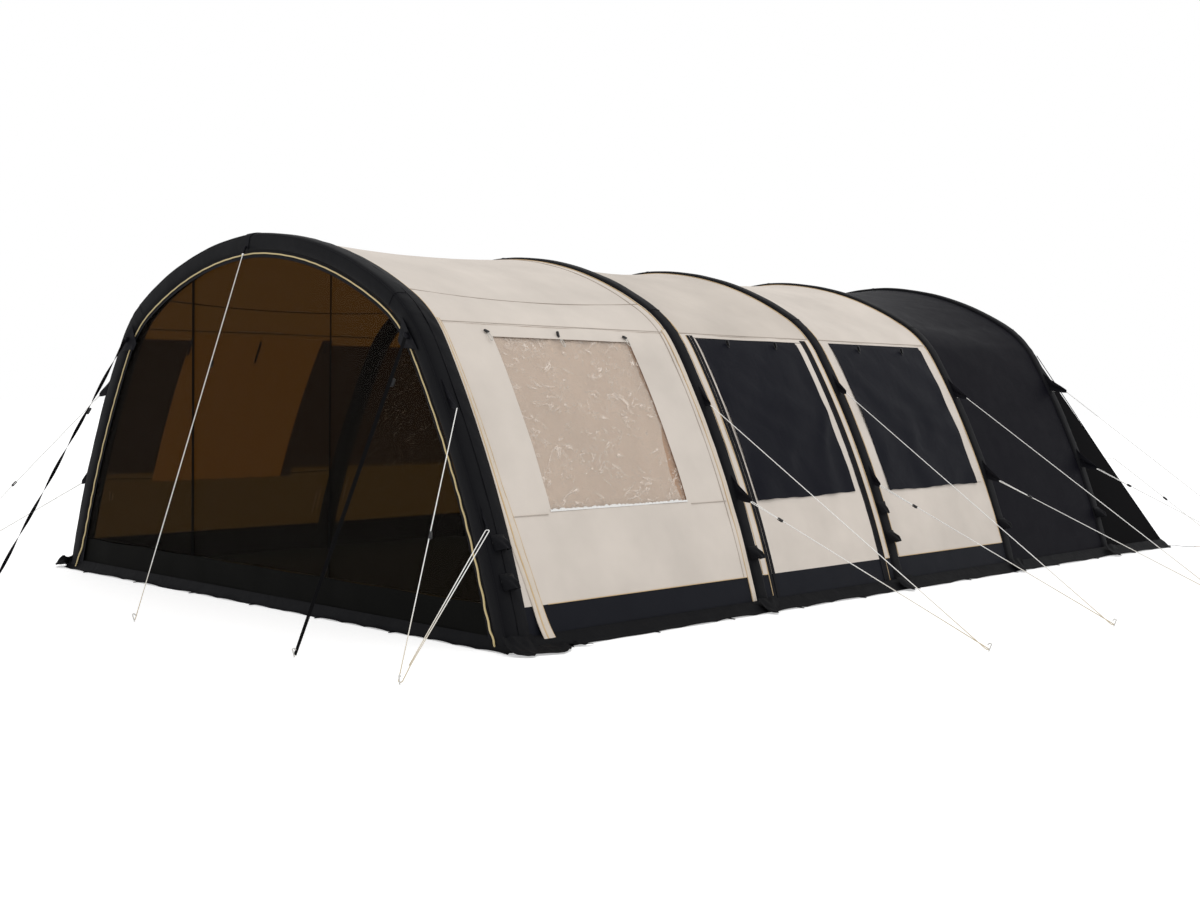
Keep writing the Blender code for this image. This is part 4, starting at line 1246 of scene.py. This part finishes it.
def peg_loop(place, out, zone=0, length=0.035):
    """A small webbing loop that stands out of the foot's edge."""
    along = np.cross(out, UP)
    angles = np.linspace(0, math.pi, 9)
    route = [place - out * 0.012 + along * 0.007]
    route += [place + along * 0.007 * math.cos(a) + out * length * math.sin(a) for a in angles]
    route.append(place - out * 0.012 - along * 0.007)
    return tube_part(thin_out(route), 0.0022, 6, zone)


def mud_flap_part(route, seed, reach, inward=0.0):
    """The strip that lies along a route, highest by the wall, with its peg loops."""
    out = np.cross(unit(np.gradient(route, axis=0)), UP)
    run = run_along(route)
    shares = np.linspace(0, 1, 8)[None, :]
    wave = ripples(run[:, None], shares * 0.2, seed, 0.35)
    edge = reach * (0.80 + 0.14 * ripples(run, run * 0, seed + 1, 0.5))[:, None]
    # The inner edge goes in under the wall, so that no floor shows between the two.
    reach_in = inward * (1 - shares) ** 5
    grid = route[:, None] + out[:, None] * (0.004 + edge * shares**1.3 - reach_in)[..., None]
    grid[..., 2] = 0.062 * (1 - shares) ** 1.5 + 0.008 * np.abs(wave) * shares + 0.0026
    loops = [
        peg_loop(route[k] + out[k] * (0.004 + edge[k, 0]) + UP * 0.006, out[k])
        for k in range(14, len(route) - 10, 26)
    ]
    # The flap is taken round the tent the other way, so that its upper face looks up.
    return [sheet_part(grid[::-1], (grid - UP * 0.0015)[::-1]), *loops]


# The cloth at the first arch's foot: shift, spread, lean, height, reach and power of each pad
FRONT_PADS = (
    (-0.010, 0.095, -0.030, 0.070, 0.160, 3.0), (0.110, 0.160, 0.030, 0.016, 0.185, 3.6),
    (0.290, 0.080, 0.120, 0.012, 0.120, 1.3),
)


def make_mud_flaps():
    for side, word in SIDES:
        parts = [foot_pad(arch, side) for arch in range(1, 5)]
        parts += [foot_pad(0, side, *numbers) for numbers in FRONT_PADS]
        piece(f"foot_cloth_{word}", parts, [APRON_FABRIC, APRON_FABRIC])
    route = flap_path()
    flap = piece(
        "mud_flap", mud_flap_part(route, 161, FLAP_REACH, 0.030), [APRON_FABRIC, APRON_FABRIC],
    )
    xs = np.linspace(-HALF_WIDTH - 0.02, HALF_WIDTH + 0.02, 180)
    front = np.stack([xs, np.full(len(xs), FRONT_PLANE - 0.004), 0 * xs], 1)
    apron = piece(
        "mud_flap_front", mud_flap_part(front, 171, FLAP_REACH), [APRON_FABRIC, APRON_FABRIC],
    )


# The mesh front


def mesh_part(left_x, right_x, clear):
    """One panel of the mesh front from the sill up to the arch, between two places across."""
    xs = stops([left_x, right_x], 0.035)
    tops = np.array([arch_point(run_at_x(abs(x), clear), clear)[1] for x in xs])
    low = SILL + 0.0006
    shares = np.linspace(0, 1, 40)[None, :]
    z = low + (np.maximum(tops, low + 0.002)[:, None] - low) * shares
    x = np.broadcast_to(xs[:, None], z.shape)
    y = FRONT_PLANE + 0.006 * np.sin(math.pi * shares) * ripples(x, z, 181, 1.1)
    outer = np.stack([x, y, z], -1)
    return sheet_part(outer, outer + REARWARD * 0.0008, uv=outer[..., ::2], back=0)


def make_front():
    clear = SLEEVE_DEPTH + 0.0008
    edge = arch_point(run_at(SILL + 0.002, clear), clear)[0] - 0.002
    left_x, right_x = ZIPS_X
    panels = (
        ("mesh_right", right_x + 0.0006, edge, "tent", "front_mesh_right"),
        ("mesh_left", -edge, left_x - 0.0006, "tent", "front_mesh_left"),
        ("mesh_door", left_x + 0.0006, right_x - 0.0006, "front_door", "front_door"),
    )
    for name, low_x, high_x, body, node in panels:
        panel = piece(
            name, [mesh_part(low_x, high_x, clear)], [NETTING], body=body, replaced=[node],
        )


make_arches()
make_valve_flaps()
make_roofs()
make_walls()
make_side_door()
make_windows()
make_curtains()
make_window_flaps()
make_rear()
make_ground()
make_mud_flaps()
make_front()


# Seams, rain strips, zips, toggles and the other small sewn pieces

TRIM_BASE = SKIN_DEPTH - 0.0002
PROUD = 0.0036
# Seams and rims beside the sleeves: the arch, and how far behind its middle they lie
ROOF_SEAMS = ((0, 0.117), (1, -0.064), (1, 0.062), (2, -0.062), (2, 0.062), (3, -0.062))
WALL_RIMS = ((1, 0.058), (2, -0.058), (2, 0.058), (3, -0.058))
# The toggles of the first bay: place, drop of the loop, way of the bar, and the tail's length
TOGGLES = (
    (-3.330, 0.012, (0.0, 1.0, -0.35), 0.10), (-2.790, 0.030, (0.0, 0.4, -1.0), 0.14),
    (-2.235, 0.012, (0.0, 1.0, -0.35), 0.06),
)


def band_part(side, runs, ys, width, zone=0, steps=2, lift=None, proud=PROUD):
    """A band that lies on the skin and runs up it. runs are counted on the right side."""
    there = on_side(side, runs)
    across = REARWARD * np.broadcast_to(width, runs.shape)[:, None] / 2
    return ribbon_part(
        skin(there, ys, TRIM_BASE), across, outward_at(there), proud, zone, steps, lift
    )


def level_part(side, run, y_start, y_end, width):
    """A narrow tape that lies on the skin along the tent."""
    runs = np.array([run - width / 2, run + width / 2])
    if side == LEFT:
        runs = (WHOLE - runs)[::-1]
    return skin_part(runs, stops([y_start, y_end], 0.035), TRIM_BASE - PROUD, PROUD, back=0)


def climb(low, high, pitch=0.03):
    """Runs on the right side between two heights."""
    return stops([run_at(low) if low > 0 else 0.0, run_at(high)], pitch)


def heights_at(runs):
    return skin(runs, ARCH_Y[0])[:, 2]


def make_rain_strips():
    """The folded cream strips beside the first two arches, over the joints of wall and arch."""
    for side, word in SIDES:
        runs = climb(0.045, EAVE + 0.02, 0.02)
        heights = heights_at(runs)
        flare = 0.028 * np.exp(-(heights - 0.045) / 0.06)[:, None]
        near = ARCH_Y[0] + np.interp(heights, (0.0, 0.20, 0.50, EAVE), (0.185, 0.168, 0.116, 0.112))
        far = ARCH_Y[0] + np.interp(heights, (0.0, 0.45, 0.80, EAVE), (0.263, 0.196, 0.158, 0.138))
        shares = np.linspace(0, 1, 11)[None, :]
        ridge = np.abs(np.sin(math.pi * (1.5 * shares + 0.10 * np.sin(runs * 5.0)[:, None])))
        lift = 0.0010 + 0.0065 * ridge * np.sin(math.pi * shares) ** 0.5
        lift = lift + 0.0010 * ripples(runs[:, None], shares * 0.1, 191, 0.12)
        lift = np.maximum(lift, 0.0004) + flare
        strip = band_part(side, runs, (near + far) / 2, far - near, 0, 11, lift)
        on_flare = flare + np.zeros((1, 2))
        lines = [band_part(side, runs, far + 0.002, 0.0030, 1, 2, on_flare, 0.0050)]
        # The two darker lines on the strip are painted shade in its folds.
        for share, width in ((0.34, 0.0050), (0.68, 0.0042)):
            place = near + (far - near) * (share + 0.06 * np.sin(runs * 4.0))
            width = width * np.interp(heights, (0.0, 0.5, 0.9), (1.7, 1.3, 1.0))
            lines.append(band_part(side, runs, place, width, 1, 2, on_flare, 0.0082))
        piece(f"rain_strip_{word}_1", [strip, *lines], [CANVAS_TRIM, PIPING_AND_FOLD_SHADE])
        runs = climb(0.030, EAVE + 0.02, 0.02)
        middle = ARCH_Y[1] - 0.073 + 0.0012 * np.sin(runs * 17.0)
        lift = 0.0010 + 0.0040 * np.abs(np.sin(2 * math.pi * np.linspace(0, 1, 7)))[None, :]
        lift = lift + 0 * runs[:, None]
        strip = band_part(side, runs, middle, 0.034, 0, 7, lift)
        edge = band_part(side, runs, middle - 0.0185, 0.003, 1)
        piece(f"rain_strip_{word}_2", [strip, edge], [CANVAS_TRIM, PIPING_AND_FOLD_SHADE])


def make_first_band():
    """The padded black band behind the first arch, sloping from its sleeve down to the cloth."""
    runs = stops([0.0, 0.25, WHOLE - 0.25, WHOLE], 0.020)[:, None]
    shares = np.linspace(0, 1, 9)[None, :]
    y = ARCH_Y[0] + 0.030 + 0.083 * shares + 0 * runs
    foot, bend = bunching(low_run(runs), 0.12, 0.0040, 0.0018)
    soft = (0.0020 + foot + bend) * ripples(runs * 1.5, y, 251, 0.11) * np.sin(math.pi * shares)
    rise = 0.0110 * np.cos(shares * math.pi / 2) ** 0.8 + 0.0055 + soft
    outer, inner = skin(runs, y, SKIN_DEPTH - rise), skin(runs, y, SKIN_DEPTH - 0.0008)
    piece("first_arch_band", [sheet_part(outer[::-1], inner[::-1], back=0)], [SLEEVE_FABRIC])


def make_seams():
    """Lapped seams of the canvas: along the eave and the roof, by the windows and the arches."""
    parts = []
    for side, _ in SIDES:
        for bay in range(3):
            near, far = ends_of(bay)
            parts.append(level_part(side, EAVE_RUN + 0.010, near + 0.01, far - 0.01, 0.0045))
            if bay == 0:
                parts.append(level_part(side, SEAM_RUN, near + 0.01, far - 0.01, 0.0035))
            start, end = window_span(bay, 0.03)
            if not door_at(side, bay):
                for a, b in ((near + 0.075, start), (end, far - 0.06)):
                    parts.append(level_part(side, run_at(WINDOW_BOTTOM) - 0.012, a, b, 0.0035))
    piece("canvas_seams", parts, [SEAM_TAPE])
    runs = stops([run_at(MUDWALL), WHOLE - run_at(MUDWALL)], 0.03)
    over = stops([EAVE_RUN + 0.02, WHOLE - EAVE_RUN - 0.02], 0.03)
    stitched = [band_part(RIGHT, runs, ARCH_Y[1] - 0.125, 0.004)]
    stitched += [
        band_part(RIGHT, over, ARCH_Y[arch] + set_off, 0.006, 1) for arch, set_off in ROOF_SEAMS
    ]
    piece("arch_seams", stitched, [SEAM_TAPE, PIPING_AND_FOLD_SHADE])


def make_cover_tops():
    """The strips that the window covers are sewn to, which stay put when a cover lifts."""
    for side, word in SIDES:
        for bay in (1, 2):
            on_door = door_at(side, bay)
            low, high = -HINGE_ROOM, 0.0080 if on_door else 0.0220
            middle = run_at(FLAP_TOP) + (low + high) / 2
            strip = level_part(side, middle, *window_span(bay, FLAP_LAP), high - low)
            piece(
                f"cover_top_{word}_{bay + 1}", [strip], [FLAP_FABRIC],
                body="side_door" if on_door else "tent",
            )


def make_pale_rims():
    """Thin cream rims where the walls meet the sleeves, and hems above the ground cloth."""
    parts = []
    runs = climb(MUDWALL + 0.004, EAVE + 0.01)
    for side, _ in SIDES:
        for arch, set_off in WALL_RIMS:
            parts.append(band_part(side, runs, ARCH_Y[arch] + set_off, 0.004))
        for bay in range(3):
            near, far = ends_of(bay)
            spans = [(near + 0.02, far - 0.02)]
            if door_at(side, bay):
                spans = [(near + 0.02, ARCH_Y[1] + 0.108), (ARCH_Y[1] + 1.372, far - 0.02)]
            if bay == 0:
                spans = [(near + 0.235, far - 0.055)]
            parts += [level_part(side, run_at(MUDWALL), a, b, 0.004) for a, b in spans]
    piece("pale_rims", parts, [PIPING_AND_FOLD_SHADE])


def make_side_zips():
    """The zips of the side door: tape, teeth and tape at each side, and a strap to its clip."""
    runs = climb(DOOR_BOTTOM + 0.004, EAVE - 0.006)
    long_runs = climb(0.020, EAVE - 0.006)
    tent, door = [], []
    # The tape at the free side closes up to the frame's; by the hinge it has to clear.
    for y, way, middle, width in (
        (ARCH_Y[1] + DOOR[0], -1, 0.0088, 0.004), (ARCH_Y[1] + DOOR[1], 1, 0.0052, 0.0085),
    ):
        tent.append(band_part(RIGHT, long_runs, y + way * 0.0165, 0.022))
        tent.append(band_part(RIGHT, runs, y + way * 0.0029, 0.005))
        tent.append(band_part(RIGHT, runs, y + way * 0.0300, 0.004, 1))
        door.append(band_part(RIGHT, runs, y - way * middle, width))
        door.append(band_part(RIGHT, runs, y - way * 0.0220, 0.022))
        foot = skin(0.0, y + way * 0.0165, TRIM_BASE - 0.006) + UP * 0.030
        tent.append(bar_part(foot, UP + REARWARD * 0.001 * way, (0.040, 0.026, 0.009)))
    # An underlap behind the hinge side closes the gap that the leaf needs to swing.
    sunk = np.full((len(runs), 2), -0.0075)
    tent.append(band_part(RIGHT, runs, ARCH_Y[1] + DOOR[0] + 0.007, 0.030, 0, 2, sunk, 0.001))
    piece("zip_frame", tent, [BLACK_TAPE, PIPING_AND_FOLD_SHADE])
    piece("zip_door", door, [BLACK_TAPE], body="side_door")
    runs = climb(MUDWALL, EAVE - 0.006)
    seams = [band_part(LEFT, runs, ARCH_Y[1] + y, 0.0045) for y in DOOR]
    piece("panel_seams_left", seams, [SEAM_TAPE])


def ring_part(centre, out, wide, tall, radius, zone=0):
    """A small loop that hangs flat against the cloth."""
    up = np.cross(out, REARWARD)
    up = up * (1 if up[2] > 0 else -1)
    angles = np.linspace(0.1, 2 * math.pi - 0.1, 17) + math.pi / 2
    route = [centre + REARWARD * wide * math.cos(a) + up * tall * math.sin(a) for a in angles]
    return tube_part(route, radius, 6, zone)


def make_toggles():
    """Toggles with their loops, along the heads of the curtained windows and of the flaps."""
    for side, word in SIDES:
        outside, inside = [], []
        run = on_side(side, run_at(WINDOW_TOP + 0.022))
        out = outward_at(run)
        for y, drop, slope, tall in TOGGLES:
            low = skin(on_side(side, run_at(WINDOW_TOP - drop)), y, 0.0)
            head = skin(run, y, SKIN_DEPTH - 0.010)
            outside.append(bar_part(head, slope, (0.036, 0.014, 0.012)))
            outside.append(ring_part(low + out * 0.002, out, 0.010, 0.026, 0.0024, 1))
            back = skin(on_side(side, run_at(WINDOW_TOP - 0.020)), y, SKIN_DEPTH + 0.034)
            top = skin(run, y, SKIN_DEPTH + 0.028)
            tail = top + (back - top) * np.linspace(0, 1, 6)[:, None] * tall / 0.042
            tail[:, 0] -= side * 0.012
            wide, facing_in = ([way] * 6 for way in (REARWARD * 0.009, -out))
            inside.append(ribbon_part(tail, wide, facing_in, 0.0016))
        piece(f"toggles_{word}", outside, [BLACK_PLASTIC, PALE_PLASTIC])
        piece(f"toggles_inside_{word}", inside, [BLACK_TAPE])
        run = on_side(side, run_at(FLAP_TOP - 0.022))
        out = outward_at(run)
        for bay in (1, 2):
            start, end = window_span(bay, FLAP_LAP)
            parts = []
            for share in (0.27, 0.75):
                head = skin(run, start + (end - start) * share, SKIN_DEPTH - 0.020)
                ring = head + out * 0.001 - UP * 0.018
                parts.append(bar_part(head, (0.0, 0.5, -1.0), (0.040, 0.016, 0.010)))
                parts.append(ring_part(ring, out, 0.008, 0.016, 0.002))
            piece(
                f"flap_toggles_{word}_{bay + 1}", parts, [BLACK_PLASTIC],
                body=f"window_flap_{word}_{bay + 1}",
            )


def make_film_edges():
    """The clear film's bottom edge in the first bay, crumpled, with a pale colour that paints the
    glint along it.
    """
    ys = np.arange(ARCH_Y[0] + WINDOWS[0][0] - 0.008, ARCH_Y[0] + WINDOWS[0][1] + 0.006, 0.007)
    for side, word in SIDES:
        rng = np.random.default_rng(233)
        top = 0.007 + 0.010 * np.abs(ripples(ys, 0 * ys, 231, 0.05)) + 0.004 * rng.random(len(ys))
        runs = on_side(side, run_at(WINDOW_BOTTOM) + 0.001 + top[:, None] * (0.0, 0.5, 1.0))
        proud = 0.0010 + 0.0014 * rng.random(runs.shape)
        outer = skin(runs, ys[:, None], SKIN_DEPTH - 0.0010 - proud)
        inner = skin(runs, ys[:, None], SKIN_DEPTH + 0.0008 - proud)
        piece(f"film_edge_{word}", [facing(side, outer, inner, back=0)], [FILM_EDGE_GLINT])


def forward_band(centre, across, thickness, zone=0):
    """A band that faces forwards."""
    return ribbon_part(centre, across, [-REARWARD] * len(centre), thickness, zone)


def arch_band(runs, depth, y, width, zone=0, thickness=0.0012):
    """A band round the front of the first arch that faces forwards."""
    place = arch_point(runs, np.broadcast_to(depth, runs.shape))
    y = np.broadcast_to(y, runs.shape)
    centre = np.stack([place[:, 0], y, np.maximum(place[:, 1], 0.004)], -1)
    across = outward_at(runs) * np.broadcast_to(width, runs.shape)[:, None] / 2
    return forward_band(centre, across, thickness, zone)


def make_front_zips():
    """The zip round the mesh front, and the tapes of its upright zips."""
    inner = SLEEVE_DEPTH + 0.006
    runs = stops([0.004, WHOLE - 0.004], 0.012)
    low = low_run(runs)
    wave = np.clip(1.2 - low / 1.6, 0.15, 1.0)
    wavy = inner + 0.0030 * wave * np.sin(runs * 52.0 + 1.5 * np.sin(runs * 7.0))
    wavy = wavy - 0.032 * np.exp(-((low / 0.14) ** 2))
    splay = 0.014 * np.exp(-((low / 0.20) ** 2))
    wide = np.interp(low, (0.3, 1.9), (0.0130, 0.0082))
    parts = [
        arch_band(runs, inner + 0.004, FRONT_PLANE - 0.010, 0.040, 0, 0.0015),
        arch_band(runs, wavy, FRONT_PLANE - 0.0135 - splay, wide, 1, 0.0022),
        arch_band(runs, wavy - 0.0002, FRONT_PLANE - 0.0150 - splay, 0.0028, 2, 0.0022),
    ]
    piece("front_zip", parts, [BLACK_TAPE, ZIP_TAPE, ZIP_TEETH])
    frame, door = [], []
    # The door has a tape at its left zip only, because its right zip is its hinge.
    for zip_x, offset, target in (
        (ZIPS_X[0], -0.0070, frame), (ZIPS_X[0], 0.0070, door), (ZIPS_X[1], 0.0070, frame),
    ):
        top = arch_point(run_at_x(abs(zip_x), inner + 0.022), inner + 0.022)[1]
        rise = np.linspace(SILL + 0.004, top, 60)
        x = np.full(60, zip_x + offset)
        centre = np.stack([x, np.full(60, FRONT_PLANE - 0.0085), rise], -1)
        target.append(forward_band(centre, [(0.0055, 0.0, 0.0)] * 60, 0.0014))
    piece("zip_upright_frame", frame, [MESH_TAPE])
    piece("zip_upright_door", door, [MESH_TAPE], body="front_door")


def make_strap_patches():
    """The patches on the front's shoulders, each with the knot of its storm strap."""
    middle = run_at_x(STRAP_ANCHOR_X, FRONT_ANCHOR_DEPTH)
    spread, reach = np.linspace(-1, 1, 11)[:, None], np.linspace(0, 1, 9)[None, :]
    run = middle + 0.115 * spread * (1 - 0.72 * reach) + 0.012 * reach
    depth = 0.060 + 0.110 * reach + 0 * spread
    place = arch_point(run, depth)
    bulge = 0.010 * (1 - spread**2) * (1 - reach) + 0.003 * ripples(run, depth * 3, 241, 0.1)
    y = ARCH_Y[0] - SLEEVE_WIDTH / 2 - 0.003 - bulge + 0.004 * reach
    for side, word in SIDES:
        outer = np.stack([place[..., 0] * side, y, place[..., 1]], -1)
        patch = facing(-side, outer, outer + REARWARD * 0.0018, back=0)
        head = front_place(STRAP_ANCHOR_X * side) - np.array([0.0, 0.018, 0.004])
        knot = bar_part(head, (side, 0.0, -1.0), (0.04, 0.02, 0.02))
        piece(f"strap_patch_{word}", [patch, knot], [BLACK_TAPE])


def make_front_tab():
    """The cloth tab at the top of the front, with the knot of its rope."""
    middle = WHOLE - run_at_x(abs(FRONT_ANCHOR_X), FRONT_ANCHOR_DEPTH)
    rows = []
    for share, corner in zip(np.linspace(0, 1, 12), range(24, 12, -1)):
        there = middle - 0.040 * (1 - share) + (0.036 * (1 - share) + 0.009) * np.linspace(-1, 1, 5)
        rows.append([
            sleeve_rings(0, there, inset, 32, sleeve_relief(0))[0][:, corner]
            for inset in (-0.0034, -0.0016)
        ])
    rows = np.array(rows)
    place = front_place(FRONT_ANCHOR_X) - REARWARD * 0.010
    way = unit(np.array(FRONT_PEG) - place)
    tab = [
        sheet_part(rows[:, 0], rows[:, 1], back=0),
        bar_part(place + way * 0.018, way, (0.050, 0.014, 0.012)),
        bar_part(place + way * 0.046, way, (0.014, 0.011, 0.010), 1),
    ]
    piece("front_tab", tab, [BLACK_TAPE, ROPE])


def make_sleeve_seams():
    """Piped seams along every sleeve, and welts across it at its top and bends."""
    runs = stops([0.04, WHOLE - 0.04], 0.03)
    bend = run_at_x(1.25, 0.05)
    welts = np.array([WHOLE - run_at_x(0.072, 0.05), bend, WHOLE - bend])
    for arch in range(5):
        relief = sleeve_relief(arch)
        rings, _ = sleeve_rings(arch, runs, -0.0006, 32, relief)
        parts = [tube_part(rings[:, corner], 0.0018, 6) for corner in (19, 29)]
        rings, _ = sleeve_rings(arch, welts, -0.0008, 32, relief)
        parts += [tube_part(np.roll(ring, 18, 0)[:21], 0.0020, 6) for ring in rings]
        piece(f"sleeve_seams_{arch + 1}", parts, [BLACK_TAPE])


def make_inside_seams():
    """Seams seen through the mesh: along the roof, the eave and the foot of the windows."""
    near, far = ends_of(0)
    ys = stops([near + 0.03, far - 0.02], 0.03)
    share = (ys - near) / (far - near)
    parts = []
    for side, _ in SIDES:
        for height, droop in ((SEAM[1], 0.004), (EAVE, 0.0), (WINDOW_BOTTOM - 0.030, 0.018)):
            runs = on_side(side, run_at(height) - droop * 4 * share * (1 - share))
            parts.append(tube_part(skin(runs, ys, SKIN_DEPTH + 0.0065), 0.0042, 6, flat=0.8))
    piece("inside_seams", parts, [INSIDE_DARK])


def make_rear_trims():
    """Corner seams of the rear and the short straps on the ground at its corners."""
    parts, straps = [], []
    start = ARCH_Y[4] + SLEEVE_WIDTH / 2 + 0.004
    share = np.linspace(0, 1, 40)[:, None]
    reach = np.linspace(0, 0.22, 12)[:, None]
    for side, _ in SIDES:
        head = skin(on_side(side, run_at(SHOULDER[1], 0.0)), start, 0.004)
        foot_x = side * (REAR_HALF_WIDTH + 0.003)
        foot = np.array([foot_x, REAR_LINE - REAR_FOOT_AHEAD + 0.004, 0.012])
        parts.append(tube_part(head * (1 - share) + foot * share, 0.0030, 6))
        place = np.array([side * (REAR_HALF_WIDTH + 0.035), REAR_LINE - 0.02, 0.016])
        out = np.array([side * 0.80, 0.60, 0.0])
        centre = place + out * reach
        centre[:, 2:] = 0.014 - 0.008 * reach / 0.22 + 0.002 * np.sin(reach * 40)
        straps.append(ribbon_part(centre, [np.cross(out, UP) * 0.010] * 12, [UP] * 12, 0.0018))
        straps.append(peg_loop(centre[-1] + UP * 0.002, out, 1, 0.045))
    piece("corner_seams", parts, [BLACK_TAPE])
    piece("corner_straps", straps, [BLACK_TAPE, CANVAS_TRIM])


make_rain_strips()
make_first_band()
make_seams()
make_cover_tops()
make_pale_rims()
make_side_zips()
make_toggles()
make_film_edges()
make_front_zips()
make_strap_patches()
make_front_tab()
make_sleeve_seams()
make_inside_seams()
make_rear_trims()


# Floor, light and backdrop

WHITE = (1, 1, 1, 1)
STAGE = 60.0
FLOOR_LIFT = 0.42
SKY_LIGHT = 0.86
KEY_LIGHT = 0.55


def split_by_ray(tree, lighting, shown):
    """One shader that lights the tent, and another for what the camera sees."""
    rays = add_node(tree, "LightPath").outputs
    seen = rays["Is Camera Ray"]
    for kind in ("Is Glossy Ray", "Is Transmission Ray"):
        seen = combined(tree, "MAXIMUM", seen, rays[kind])
    return joined(tree, "MixShader", seen, lighting, shown)


def make_stage():
    made, tree, shader, _ = shader_of("stage_floor")
    feed(tree, shader, Base_Color=(0.80, 0.80, 0.80, 1), Roughness=0.9, Specular_IOR_Level=0.0)
    plain = shader.outputs["BSDF"]
    lift = add_node(tree, "Emission", Color=WHITE, Strength=FLOOR_LIFT).outputs["Emission"]
    shown = joined(tree, "AddShader", plain, lift)
    feed(tree, tree.nodes["Material Output"], Surface=split_by_ray(tree, plain, shown))
    mesh = bpy.data.meshes.new("stage_floor")
    corners = [(-STAGE, -STAGE, 0), (STAGE, -STAGE, 0), (STAGE, STAGE, 0), (-STAGE, STAGE, 0)]
    mesh.from_pydata(corners, [], [(0, 1, 2, 3)])
    mesh.materials.append(made)
    floor = new_object("stage_floor", mesh)
    floor.location.z = -0.0005


def make_light():
    world = bpy.data.worlds.new("studio")
    bpy.context.scene.world = world
    world.use_nodes = True
    tree = world.node_tree
    tree.nodes.clear()
    lit, shown = (
        add_node(tree, "Background", Color=WHITE, Strength=strength).outputs["Background"]
        for strength in (SKY_LIGHT, 1.0)
    )
    feed(tree, add_node(tree, "OutputWorld"), Surface=split_by_ray(tree, lit, shown))
    lamp = bpy.data.lights.new("key", "SUN")
    lamp.energy = KEY_LIGHT
    lamp.angle = math.radians(35)
    key = new_object("key", lamp)
    key.rotation_mode = "QUATERNION"
    key.rotation_quaternion = Vector((0.35, -0.30, 1.0)).to_track_quat("Z", "Y")
    bpy.context.scene.view_settings.view_transform = "Standard"


make_stage()
make_light()
